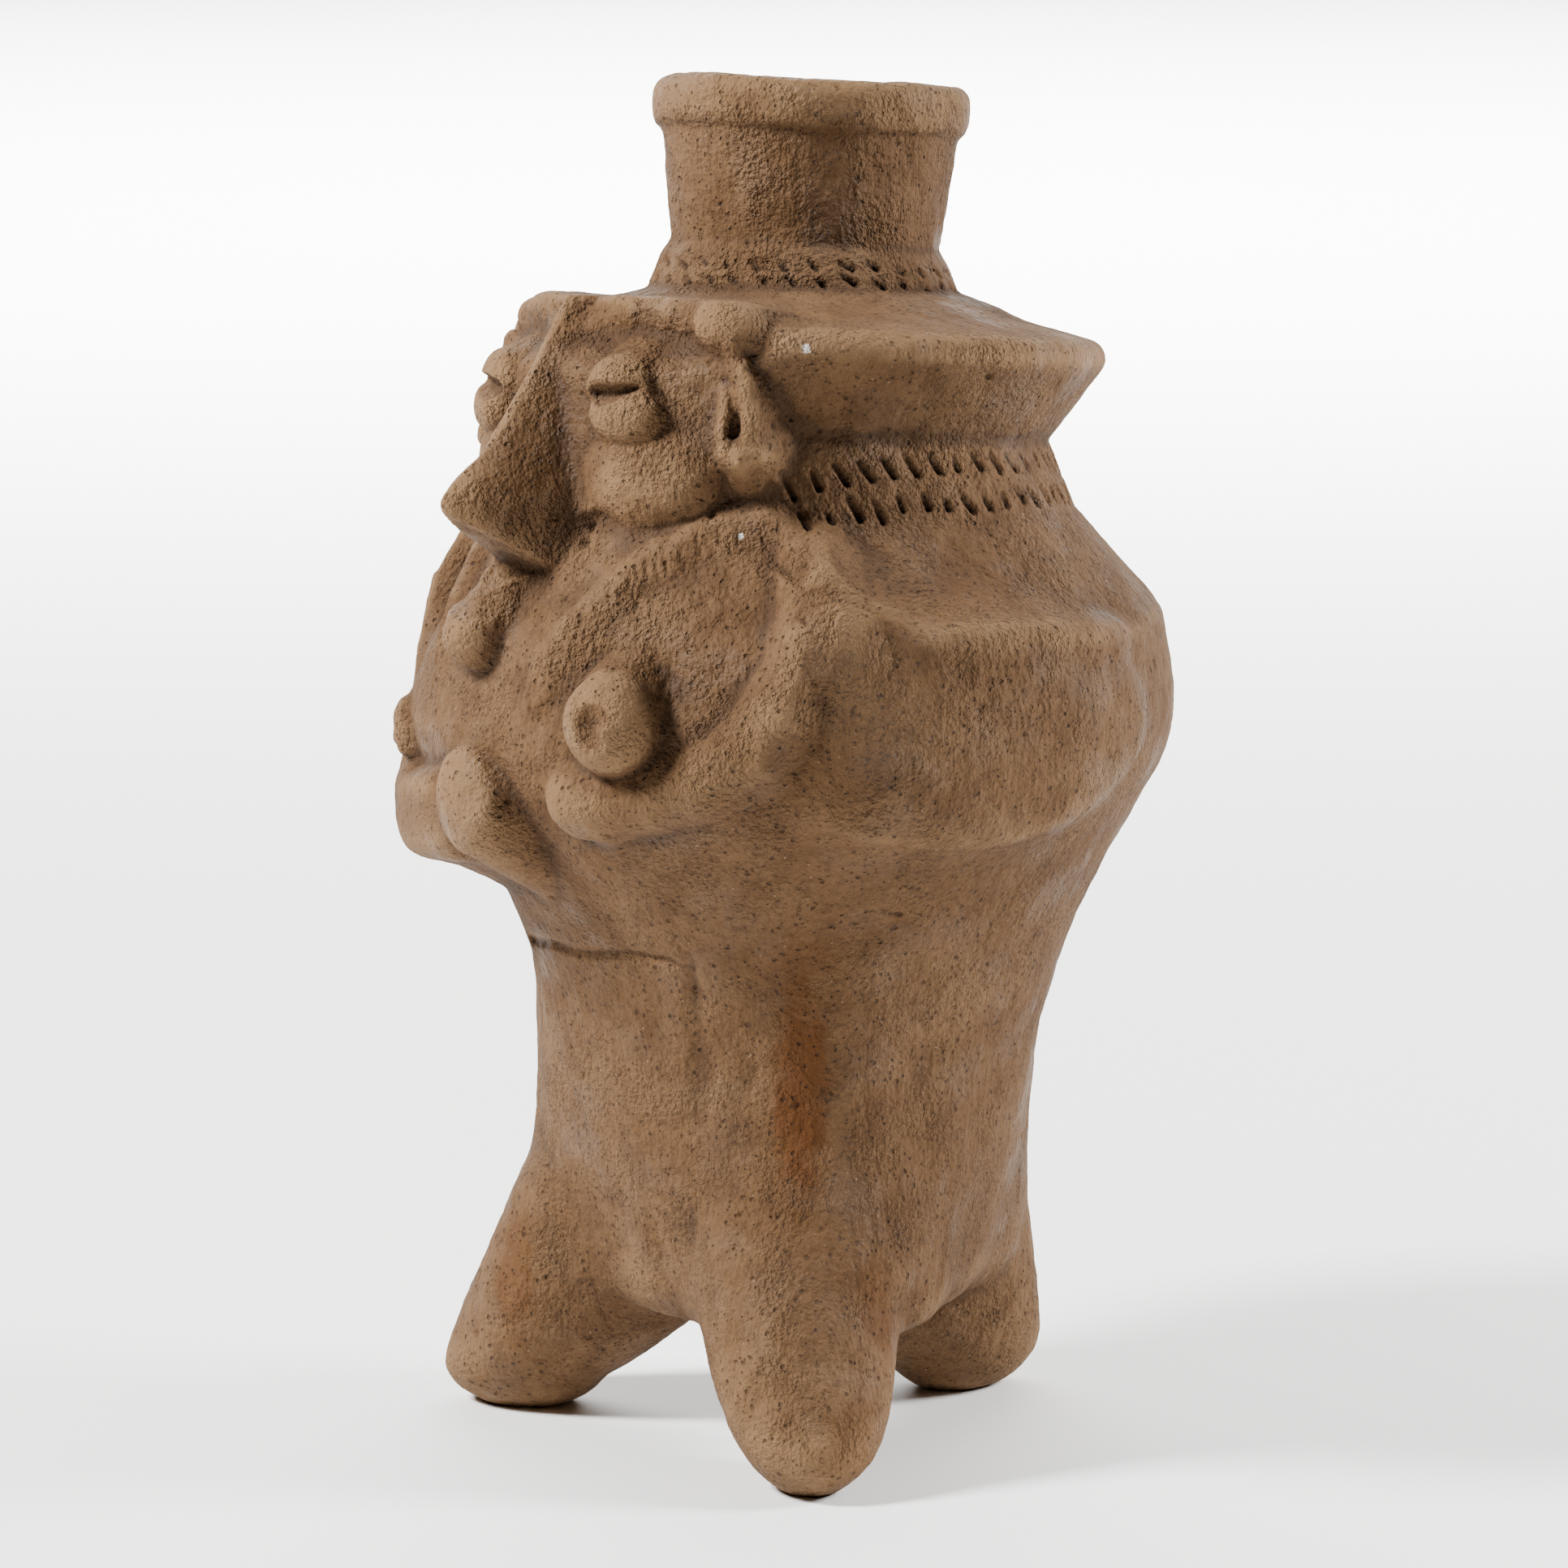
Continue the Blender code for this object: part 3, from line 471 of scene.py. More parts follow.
# Heights between which the carved wall gives way to the plain underside, and the carving's top
CARVED_FOOT, CARVED_TOP = (UNDERSIDE[1] + 8.0, SEAT[1] + 14.0), 206.2
# Unevenness of the wall, as height, waves round, twist and start, and of the rim
WALL_WAVES, TWIST_RISE = [(0.45, 2.0, 1.9, 0.6), (0.35, 3.0, -1.3, 2.1)], 40.0
RIM_WAVES, RIM_TILT, RIM_TURN = [(0.5, 2.0, 0.8), (0.35, 3.0, 2.0)], 0.45, 0.2
RIM_RISE = (SPOUT_FOOT[1], 251.0)
# Radii and heights between which the seat, the crown's front and the skirt are moved
SEAT_RADII, CROWN_LIFT_RADII, CROWN_LIFT_RISE = (10.0, 36.0), (32.0, 44.0), (192.0, 203.0)
SKIRT_RADII, SKIRT_RISE, SKIRT_END, SKIRT_TURN = (34.0, 42.0), (203.0, 207.0), (211.4, 218.0), 2.5

carved[outer] = round_crown(radius[outer], bearing[outer], rise[outer])
low = outer & (rise < CARVED_TOP)
side, level = bearing[low], rise[low]
shaped = thighs(figure(radius[low], side, level), side, level)
for groove in (BELT, SEAM):
    shaped = press(shaped, side, level, *groove)
for full in (BACK_FULL, FRONT_FULL):
    shaped += dent(side, level, *full)
shaped -= saddle(side, level)
shaped += sum(height * np.sin(waves * np.radians(side) + twist * (level / TWIST_RISE) + start)
              for height, waves, twist, start in WALL_WAVES)
wall_part = smooth_step(rise, *CARVED_FOOT)
carved[low] += (shaped - carved[low]) * wall_part[low]
spots[:, :2] *= np.where(radius > 1e-6, carved / np.maximum(radius, 1e-6), 1.0)[:, None]
drawn = (1.0 - wall_part) * saddle(bearing, rise) * smooth_step(radius, *SEAT_RADII)
spots[:, :2] *= (1.0 - drawn / np.maximum(radius, 1.0))[:, None]
front = 1.0 - smooth_step(np.abs(bearing), *CROWN_LIFT_FADE)
front = CROWN_LIFT * front * smooth_step(radius, *CROWN_LIFT_RADII)
spots[:, 2] += front * smooth_step(rise, *CROWN_LIFT_RISE)
turn = np.radians(bearing)
wave = sum(height * np.sin(waves * turn + start) for height, waves, start in RIM_WAVES)
spots[:, 2] += (wave - RIM_TILT * np.cos(turn + RIM_TURN)) * smooth_step(rise, *RIM_RISE)
skirt = smooth_step(rise, *SKIRT_RISE) * (1.0 - smooth_step(rise, *SKIRT_END))
lift = SKIRT_LIFT * (SKIRT_MEAN + np.cos(turn - SKIRT_TURN)) * skirt
spots[:, 2] += lift * (1.0 - smooth_step(radius, *SKIRT_RADII))
move_to(body, spots)


# JOINING
# The soft parts are worked into one skin with wet fingers: the union closes them into one clay
# body, and the joints of the legs are rubbed smooth.

VOXEL, RUBBING, RUBBING_STROKES = 0.6, 0.5, 200
# Heights over which the rubbing sets in, and over which it ends
RUBBED_FOOT, RUBBED_TOP = (12.0, 24.0), (54.0, 72.0)

joined = bmesh.new()
for part in [body] + [make_leg(leg) for leg in LEGS]:
    joined.from_mesh(part)
    bpy.data.meshes.remove(part)
bmesh.ops.recalc_face_normals(joined, faces=joined.faces)
whole = bpy.data.meshes.new("whole")
joined.to_mesh(whole)
joined.free()
blank = put("blank", whole)
union = blank.modifiers.new("union", "REMESH")
union.mode = "VOXEL"
union.voxel_size = VOXEL
clay = plain_mesh(blank)

level = places(clay)[:, 2]
strengths = np.round(smooth_step(level, *RUBBED_FOOT) * (1.0 - smooth_step(level, *RUBBED_TOP)), 1)
jar = put("jar", clay)
joint = jar.vertex_groups.new(name="joints")
for strength in np.unique(strengths[strengths > 0.0]):
    joint.add(np.nonzero(strengths == strength)[0].tolist(), float(strength), "REPLACE")
smoothing = jar.modifiers.new("rubbed", "SMOOTH")
smoothing.factor = RUBBING
smoothing.iterations = RUBBING_STROKES
smoothing.vertex_group = joint.name
clay = plain_mesh(jar)


# THE STICK MARKS
# Rows of jabs made with a split twig in the damp clay: two round the neck, two round the spout's
# collar, and a fringe of short strokes along each side of the necklace.

NECK_HALVES = [[(54.0, 177.6, 50.0), (62.0, 179.6, 49.0), (75.0, 181.2, 48.0), (110.0, 182.0, 47.5),
    (180.0, 182.0, 47.5)],
    [(57.0, 172.6, 52.0), (66.0, 174.4, 51.5), (80.0, 175.6, 51.0), (110.0, 176.2, 50.5),
    (180.0, 176.4, 50.5)]]
NECK_ROWS = [half + [(360.0 - turn, level, out) for turn, level, out in half[-2::-1]] for half in NECK_HALVES]
COLLAR_ROWS = [[(0.0, 214.6, 26.6), (90.0, 214.9, 26.6), (180.0, 214.6, 26.6), (270.0, 214.8, 26.6),
    (357.0, 214.6, 26.6)],
    [(6.0, 211.9, 27.6), (96.0, 212.1, 27.6), (186.0, 211.9, 27.6), (276.0, 212.2, 27.6),
    (365.0, 211.9, 27.6)]]
# A kind of mark's spacing, length, lean, half width and depth, in millimetres and radians
NECK_MARK, COLLAR_MARK = (4.6, 3.4, 0.5, 0.7, 1.1), (5.4, 2.4, 1.0, 0.65, 1.0)
BEAD_SPACING, BEAD_LENGTH, BEAD_LEAN, BEAD_HALF, BEAD_DEPTH, BEAD_RISE = 3.3, 4.2, 0.15, 0.4, 0.36, 0.8
MARK_POINTS, GUIDE_POINTS = 9, 400
MARK_WANDER, MARK_SWAY, SHORTEST, LONGEST, MARK_TAIL = 0.45, 0.22, 0.55, 1.25, 0.35


def add_node(tree, kind, inputs=(), **settings):
    """Adds a node and its settings, and sets or links its inputs, given by name or in their order."""
    node = tree.nodes.new(kind)
    for name, value in settings.items():
        setattr(node, name, value)
    for socket, value in (inputs.items() if isinstance(inputs, dict) else enumerate(inputs)):
        if isinstance(value, bpy.types.Node):
            value = value.outputs[0]
        if isinstance(value, bpy.types.NodeSocket):
            tree.links.new(value, node.inputs[socket])
        else:
            node.inputs[socket].default_value = value
    return node


def named_inputs(tree, kinds):
    """Gives a tree its named inputs and its geometry output, and returns what the inputs hold."""
    tree.interface.new_socket("Geometry", in_out="INPUT", socket_type="NodeSocketGeometry")
    for name, kind in kinds.items():
        tree.interface.new_socket(name, in_out="INPUT", socket_type="NodeSocket" + kind)
    tree.interface.new_socket("Geometry", in_out="OUTPUT", socket_type="NodeSocketGeometry")
    return tree.nodes.new("NodeGroupInput").outputs


def run_tree(guide, tree, values):
    """Runs a tree on an object, with its inputs set by identifier, and gives the plain mesh."""
    modifier = guide.modifiers.new(tree.name, "NODES")
    modifier.node_group = tree
    sockets = {item.name: item.identifier for item in tree.interface.items_tree if item.in_out == "INPUT"}
    for name, value in values.items():
        modifier[sockets[name]] = value
    return plain_mesh(guide)


def guide_line(path):
    """A fine line through places given as (bearing, height, radius)."""
    turns, levels, radii = np.array(path).T
    fine = np.linspace(turns[0], turns[-1], GUIDE_POINTS)
    levels, radii = np.interp(fine, turns, levels), np.interp(fine, turns, radii)
    spin = np.radians(fine)
    mesh = bpy.data.meshes.new("guide")
    points = np.column_stack([radii * np.sin(spin), -radii * np.cos(spin), levels])
    mesh.from_pydata(points.tolist(), [(index, index + 1) for index in range(GUIDE_POINTS - 1)], [])
    return put("guide", mesh)


fired_clay = bpy.data.materials.new("sandy terracotta, smoothed by hand")

jabs = bpy.data.node_groups.new("stick marks", "GeometryNodeTree")
given = named_inputs(jabs, {"Jar": "Object", "Spacing": "Float", "Length": "Float", "Lean": "Float",
                            "Half width": "Float", "Depth": "Float", "Seed": "Int"})
curve = add_node(jabs, "GeometryNodeMeshToCurve", {"Mesh": given["Geometry"]})
dots = add_node(jabs, "GeometryNodeCurveToPoints", {"Curve": curve, "Length": given["Spacing"]},
                mode="LENGTH")
wander = add_node(jabs, "FunctionNodeRandomValue", {
    "Min": [-MARK_WANDER] * 3, "Max": [MARK_WANDER] * 3, "Seed": given["Seed"]}, data_type="FLOAT_VECTOR")
dots_moved = add_node(jabs, "GeometryNodeSetPosition", {"Geometry": dots, "Offset": wander})
# Each mark lies flat on the clay nearest to it, turned from upright by its lean
surface = add_node(jabs, "GeometryNodeObjectInfo", {"Object": given["Jar"]}).outputs["Geometry"]
normal = add_node(jabs, "GeometryNodeInputNormal")
here = add_node(jabs, "GeometryNodeInputPosition")
facing = add_node(jabs, "GeometryNodeSampleNearestSurface", {
    "Mesh": surface, "Value": normal, "Sample Position": here}, data_type="FLOAT_VECTOR")
laid = add_node(jabs, "FunctionNodeAxesToRotation", {
    "Primary Axis": facing, "Secondary Axis": (0.0, 0.0, 1.0)}, primary_axis="Z", secondary_axis="X")
sway = add_node(jabs, "FunctionNodeRandomValue", {2: -MARK_SWAY, 3: MARK_SWAY, "Seed": given["Seed"]})
leaned = add_node(jabs, "ShaderNodeMath", (given["Lean"], sway.outputs[1]), operation="ADD")
swung = add_node(jabs, "FunctionNodeAxisAngleToRotation", {"Axis": (0.0, 0.0, 1.0), "Angle": leaned})
turned_mark = add_node(jabs, "FunctionNodeRotateRotation", {"Rotation": laid, "Rotate By": swung},
                       rotation_space="LOCAL")
start = add_node(jabs, "ShaderNodeMath", (given["Length"], -0.5), operation="MULTIPLY")
stride = add_node(jabs, "ShaderNodeMath", (given["Length"], MARK_POINTS - 1.0), operation="DIVIDE")
from_here = add_node(jabs, "ShaderNodeCombineXYZ", {"X": start})
by_this = add_node(jabs, "ShaderNodeCombineXYZ", {"X": stride})
stroke = add_node(jabs, "GeometryNodeMeshLine", {
    "Count": MARK_POINTS, "Start Location": from_here, "Offset": by_this})
# The stick went in deep at the top of a mark and came out at its foot
order = add_node(jabs, "GeometryNodeInputIndex")
fading = add_node(jabs, "ShaderNodeMapRange", (order, 0.0, MARK_POINTS - 1.0, 1.0, MARK_TAIL))
deep = add_node(jabs, "ShaderNodeMath", (fading, given["Depth"]), operation="MULTIPLY")
kept = stroke
for name, value in (("depth", deep), ("half", given["Half width"])):
    kept = add_node(jabs, "GeometryNodeStoreNamedAttribute", {"Geometry": kept, "Name": name, "Value": value},
                    data_type="FLOAT")
size = add_node(jabs, "FunctionNodeRandomValue", {2: SHORTEST, 3: LONGEST, "Seed": given["Seed"]})
spread = add_node(jabs, "GeometryNodeInstanceOnPoints", {
    "Points": dots_moved, "Instance": kept, "Rotation": turned_mark, "Scale": size.outputs[1]})
real = add_node(jabs, "GeometryNodeRealizeInstances", {"Geometry": spread})
nearest = add_node(jabs, "GeometryNodeProximity", {0: surface}, target_element="FACES")
snapped = add_node(jabs, "GeometryNodeSetPosition", {"Geometry": real, "Position": nearest})
coated = add_node(jabs, "GeometryNodeSetMaterial", {"Geometry": snapped, "Material": fired_clay})
add_node(jabs, "NodeGroupOutput", {"Geometry": coated})

jar = put("jar", clay)
bpy.context.view_layer.update()
marks = bmesh.new()
rows = [(row, *NECK_MARK, 11 + index) for index, row in enumerate(NECK_ROWS)]
rows += [(row, *COLLAR_MARK, 21 + index) for index, row in enumerate(COLLAR_ROWS)]
for mirror, seed in ((1.0, 31), (-1.0, 41)):
    beads = sorted((mirror * turn, level + BEAD_RISE, crest) for turn, level, crest, _ in NECKLACE)
    rows.append((beads, BEAD_SPACING, BEAD_LENGTH, BEAD_LEAN * mirror, BEAD_HALF, BEAD_DEPTH, seed))
for path, spacing, length, lean, half, depth, seed in rows:
    row = run_tree(guide_line(path), jabs, {"Jar": jar, "Spacing": spacing, "Length": length, "Lean": lean,
                                            "Half width": half, "Depth": depth, "Seed": seed})
    marks.from_mesh(row)
    bpy.data.meshes.remove(row)
stick_marks = put("stick marks", bpy.data.meshes.new("stick marks"))
marks.to_mesh(stick_marks.data)
marks.free()


# THE SKIN
# What the surface keeps of its making: finger swells, wiping lines round the spout and hat,
# scraping lines down the legs, burnt-out grains that left pits, and torn edges where clay broke.

# Rough places, as bearing, height, half width and half height in millimetres, and strength
ROUGH = [(22.0, 204.0, 20.0, 4.5, 0.9), (-22.0, 204.0, 20.0, 4.5, 0.9), (44.0, 196.0, 6.0, 9.0, 0.7),
    (-44.0, 196.0, 6.0, 9.0, 0.7), (66.0, 184.8, 22.0, 3.6, 1.0), (30.0, 171.0, 14.0, 4.0, 0.6),
    (-31.0, 131.5, 9.0, 9.0, 1.0), (58.0, 156.0, 5.0, 12.0, 0.7), (-40.0, 112.0, 14.0, 8.0, 0.5),
    (20.0, 121.0, 8.0, 6.0, 0.6), (0.0, 160.0, 40.0, 16.0, 0.35), (40.0, 150.0, 16.0, 16.0, 0.45)]
KEPT_TRIANGLES = 190000

# Pits: their spacing, size and depth in millimetres, their share, and more where broken
PITS = [(3.6, 0.75, 0.55, 0.05, 0.5), (8.0, 1.3, 0.8, 0.0, 0.3)]
BURR_HEIGHT, UNROLLED_RADIUS = 0.14, 50.0
# Heights between which the clay is taken as outside, up at the mouth
MOUTH_FADE = (225.0, 236.0)


def note(mesh, name, values):
    """Keeps a value for each point of a mesh."""
    mesh.attributes.new(name, "FLOAT", "POINT").data.foreach_set("value", values.astype(np.float32))


points = places(clay)
level = points[:, 2]
radius, bearing = round_axis(points)
outside = np.where(radius > np.interp(level, *zip(*middle_line)), 1.0, 0.0)
outside = np.maximum(outside, (level < UNDERSIDE[1] + WALL).astype(float))
outside = np.maximum(outside, smooth_step(level, *MOUTH_FADE))
broken = np.zeros(len(points))
for turn, height, half_width, half_height, strength in ROUGH:
    reach = np.hypot(np.radians(bearing - turn) * radius / half_width, (level - height) / half_height)
    broken = np.maximum(broken, strength * (1.0 - smooth_step(reach, 0.5, 1.1)))
note(clay, "outside", outside)
note(clay, "broken", broken)

skin = bpy.data.node_groups.new("clay skin", "GeometryNodeTree")
given = named_inputs(skin, {"Marks": "Object"})
here = add_node(skin, "GeometryNodeInputPosition")
normal = add_node(skin, "GeometryNodeInputNormal")
outside_of, broken_of, half_of, depth_of = [
    add_node(skin, "GeometryNodeInputNamedAttribute", {"Name": name}, data_type="FLOAT")
    for name in ("outside", "broken", "half", "depth")]
split = add_node(skin, "ShaderNodeSeparateXYZ", {0: here}).outputs
back = add_node(skin, "ShaderNodeMath", (split["Y"], -1.0), operation="MULTIPLY")
turn_of = add_node(skin, "ShaderNodeMath", (split["X"], back), operation="ARCTAN2")
around = add_node(skin, "ShaderNodeMath", (turn_of, UNROLLED_RADIUS), operation="MULTIPLY")
unrolled = add_node(skin, "ShaderNodeCombineXYZ", {"X": around, "Y": split["Z"]})
stick_lines = add_node(skin, "GeometryNodeObjectInfo", {"Object": given["Marks"]}).outputs["Geometry"]
away = add_node(skin, "GeometryNodeProximity", {0: stick_lines}, target_element="EDGES")
index = add_node(skin, "GeometryNodeSampleNearest", {"Geometry": stick_lines})
mark_half, mark_depth = [
    add_node(skin, "GeometryNodeSampleIndex", {"Geometry": stick_lines, "Value": value, "Index": index},
             data_type="FLOAT") for value in (half_of, depth_of)]
reach = add_node(skin, "ShaderNodeMath", (away.outputs["Distance"], mark_half), operation="DIVIDE")
# The scraped legs, the wiped top, a mark's trough, and the two sides of the burr beside it: each
# eases from one number to another between two values
SMOOTH = {"interpolation_type": "SMOOTHSTEP"}
legs_part, top_part, trough, burr_rise, burr_fall = [
    add_node(skin, "ShaderNodeMapRange", eased, **SMOOTH) for eased in (
        (split["Z"], 100.0, 125.0, 1.0, 0.0), (split["Z"], 200.0, 206.0, 0.0, 1.0),
        (reach, 0.25, 1.25, 1.0, 0.0), (reach, 0.9, 1.6, 0.0, 1.0), (reach, 1.6, 2.6, 1.0, 0.0))]


def swell(guide, grain, height, detail, weight=1.0, stretch=(1.0, 1.0, 1.0)):
    """A noise of a grain size in millimetres, as a height to add along the normal."""
    scaled = add_node(skin, "ShaderNodeVectorMath", (guide, [part / grain for part in stretch]),
                      operation="MULTIPLY")
    noise = add_node(skin, "ShaderNodeTexNoise", {
        "Vector": scaled, "Scale": 1.0, "Detail": detail, "Roughness": 0.55})
    centred = add_node(skin, "ShaderNodeMath", (noise, 0.5), operation="SUBTRACT")
    grown = add_node(skin, "ShaderNodeMath", (centred, 2.0 * height), operation="MULTIPLY")
    return add_node(skin, "ShaderNodeMath", (grown, weight), operation="MULTIPLY")


def pits(grain, size, depth, share, extra):
    """Round pits in a share of the cells of a grain size, more of them where the clay is broken."""
    scaled = add_node(skin, "ShaderNodeVectorMath", (here, [1.0 / grain] * 3), operation="MULTIPLY")
    cells = add_node(skin, "ShaderNodeTexVoronoi", {"Vector": scaled, "Scale": 1.0})
    picked = add_node(skin, "FunctionNodeSeparateColor", {0: cells.outputs["Color"]}).outputs
    bar = add_node(skin, "ShaderNodeMath", (broken_of, extra, share), operation="MULTIPLY_ADD")
    chosen = add_node(skin, "ShaderNodeMath", (picked[0], bar), operation="LESS_THAN")
    width = add_node(skin, "ShaderNodeMath", (picked[1], size / grain, 0.5 * size / grain),
                     operation="MULTIPLY_ADD")
    reach = add_node(skin, "ShaderNodeMath", (cells, width), operation="DIVIDE")
    bowl = add_node(skin, "ShaderNodeMapRange", (reach, 0.3, 1.0, 1.0, 0.0), **SMOOTH)
    sunk = add_node(skin, "ShaderNodeMath", (bowl, chosen), operation="MULTIPLY")
    return add_node(skin, "ShaderNodeMath", (sunk, -depth), operation="MULTIPLY")


def total(parts):
    """Adds up a list of values."""
    running = parts[0]
    for part in parts[1:]:
        running = add_node(skin, "ShaderNodeMath", (running, part), operation="ADD")
    return running


burr = add_node(skin, "ShaderNodeMath", (burr_rise, burr_fall), operation="MULTIPLY")
lip = add_node(skin, "ShaderNodeMath", (burr, BURR_HEIGHT), operation="MULTIPLY")
stabbed = add_node(skin, "ShaderNodeMath", (trough, mark_depth), operation="MULTIPLY")
marked = add_node(skin, "ShaderNodeMath", (lip, stabbed), operation="SUBTRACT")
sunk = total([pits(*sizes) for sizes in PITS] + [marked])
uneven = total([swell(*sizes) for sizes in (
    (here, 16.0, 0.5, 2.0), (here, 5.0, 0.3, 4.0), (here, 2.2, 0.1, 2.0), (here, 2.4, 0.4, 3.0, broken_of),
    (here, 6.0, 0.9, 1.0, broken_of), (unrolled, 2.2, 0.16, 2.0, legs_part, (1.0, 0.12, 1.0)),
    (unrolled, 1.8, 0.12, 2.0, top_part, (0.08, 1.0, 1.0)))])
lift = add_node(skin, "ShaderNodeMath", (total([sunk, uneven]), outside_of), operation="MULTIPLY")
offset = add_node(skin, "ShaderNodeVectorMath", {0: normal, "Scale": lift}, operation="SCALE")
noted = add_node(skin, "GeometryNodeStoreNamedAttribute", {
    "Geometry": given["Geometry"], "Name": "sunk", "Value": sunk}, data_type="FLOAT")
modelled = add_node(skin, "GeometryNodeSetPosition", {"Geometry": noted, "Offset": offset})
real = add_node(skin, "GeometryNodeRealizeInstances", {"Geometry": modelled})
coated = add_node(skin, "GeometryNodeSetMaterial", {"Geometry": real, "Material": fired_clay})
add_node(skin, "NodeGroupOutput", {"Geometry": coated})
clay = run_tree(jar, skin, {"Marks": stick_marks})
bpy.data.objects.remove(stick_marks)


# FINISHING
# The finished jar slumped a little as it dried: it stands behind its feet, and its head leans
# back and to its right. Its soles are worn flat.

TILT_BACK, TILT_SIDE = 0.092, -0.051
NECK_BEND, BEND_SOFTNESS, SHEER_FOOT, SHEER_TOP = 172.0, 30.0, 150.0, 190.0
MILLIMETRE = 0.001
SMOOTHINGS = 24

points = places(clay)
points[:, 2] = np.maximum(points[:, 2], 0.0)
x, y, level = points.T
bend = soft_max(level - NECK_BEND, np.zeros(len(level)), BEND_SOFTNESS)
sheer = smooth_step(level, SHEER_FOOT, SHEER_TOP) * (TILT_BACK * y + TILT_SIDE * x)
points = np.column_stack([x + TILT_SIDE * bend, y + BODY_SHIFT + TILT_BACK * bend, level - sheer])
points *= MILLIMETRE
low_corner, high_corner = np.array(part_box("vessel")[0]), np.array(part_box("vessel")[1])
shift = (low_corner + high_corner - points.min(axis=0) - points.max(axis=0)) / 2.0
points[:, :2] += shift[:2]
move_to(clay, points)

jar = put("jar", clay)
clay.calc_loop_triangles()
thinning = jar.modifiers.new("fewer faces", "DECIMATE")
thinning.ratio = KEPT_TRIANGLES / len(clay.loop_triangles)
clay = plain_mesh(jar)
clay.name = "jar"
clay.shade_smooth()

# Painted shade and highlight: how far a smoothed copy of the skin stands proud of each point, in millimetres,
# darkens the creases and lightens the crests in the material
points = places(clay)
edges = np.empty(len(clay.edges) * 2, dtype=np.int32)
clay.edges.foreach_get("vertices", edges)
first, second = edges.reshape(-1, 2).T
neighbours = np.bincount(edges, minlength=len(points))
smoothed = points.copy()
for _ in range(SMOOTHINGS):
    smoothed = np.column_stack([
        (np.bincount(first, along[second], len(points)) + np.bincount(second, along[first], len(points)))
        / neighbours for along in smoothed.T])
normals = np.empty(points.size, dtype=np.float32)
clay.vertices.foreach_get("normal", normals)
note(clay, "crease", ((smoothed - points) * normals.reshape(-1, 3)).sum(axis=1) / MILLIMETRE)
jar = put("jar", clay)
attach(jar, "root")
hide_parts("vessel")


# THE FIRED CLAY
# Sandy terracotta: low-fired, unglazed, matte and tan brown, with orange-brown stains of iron, pale grit,
# a faint gloss where hands have rubbed it, painted shade in its pits and creases and painted highlight on its
# crests.


def linear(code):
    """An sRGB hex colour as linear red, green, blue and alpha."""
    parts = [int(code[place:place + 2], 16) / 255.0 for place in (0, 2, 4)]
    return [part / 12.92 if part <= 0.04045 else ((part + 0.055) / 1.055) ** 2.4 for part in parts] + [1.0]


# Stains of iron, as place and reach in millimetres, and strength
STAINS = [((40.5, -24.0, 72.0), (6.0, 6.0, 24.0), 0.95), ((56.0, -22.0, 10.0), (9.0, 9.0, 10.0), 0.8),
    ((49.5, -13.6, 32.0), (5.0, 5.0, 12.0), 0.5), ((-27.0, -42.0, 28.0), (6.0, 6.0, 15.0), 0.6),
    ((43.5, -26.0, 97.0), (8.0, 8.0, 6.0), 0.3)]
# Flecks of lime, as place and reach in millimetres
FLECKS = [((44.1, -25.3, 205.5), 1.3), ((38.1, -35.1, 172.6), 1.2), ((39.6, -34.2, 172.9), 0.9)]
# Burnt-out grains, as spacing and width in millimetres, share, soil in them and depth
BURNT_GRAINS = [(1.7, 0.5, 0.26, 0.4, 0.7), (1.0, 0.32, 0.3, 0.35, 0.5)]
TAN_CLAY, PALE_CLAY, LIT_AND_RUBBED_CLAY = "563d25", "634930", "8a6c4c"
SAND, LIME, IRON = "ae9276", "cfc6ba", "4a2a0c"
SMOKE, EARTH, STREAK, SOIL_AND_SHADE, BURNT, PIT_SHADE = "462e18", "332010", "362312", "2a1a0d", "2b1a0b", "24160a"

fired_clay.use_nodes = True
finish = fired_clay.node_tree
shader = finish.nodes["Principled BSDF"]
shader.inputs["Specular IOR Level"].default_value = 0.18
coordinates = add_node(finish, "ShaderNodeTexCoord").outputs["Object"]


def mottled(grain, detail=3.0, roughness=0.55, stretch=(1.0, 1.0, 1.0)):
    """An even mottling of a grain size in millimetres."""
    scaled = add_node(finish, "ShaderNodeVectorMath", (
        coordinates, [part / grain / MILLIMETRE for part in stretch]), operation="MULTIPLY")
    return add_node(finish, "ShaderNodeTexNoise", {
        "Vector": scaled, "Scale": 1.0, "Detail": detail, "Roughness": roughness})


def patch(place, reach, grain, ragged):
    """How far each point is from a place, in reaches, with a ragged edge."""
    moved = add_node(finish, "ShaderNodeVectorMath", (
        coordinates, [part * MILLIMETRE for part in place]), operation="SUBTRACT")
    scaled = add_node(finish, "ShaderNodeVectorMath", (
        moved, [1.0 / part / MILLIMETRE for part in reach]), operation="MULTIPLY")
    far = add_node(finish, "ShaderNodeVectorMath", {0: scaled}, operation="LENGTH")
    return add_node(finish, "ShaderNodeMath", (mottled(grain), ragged, far.outputs["Value"]),
                    operation="MULTIPLY_ADD")


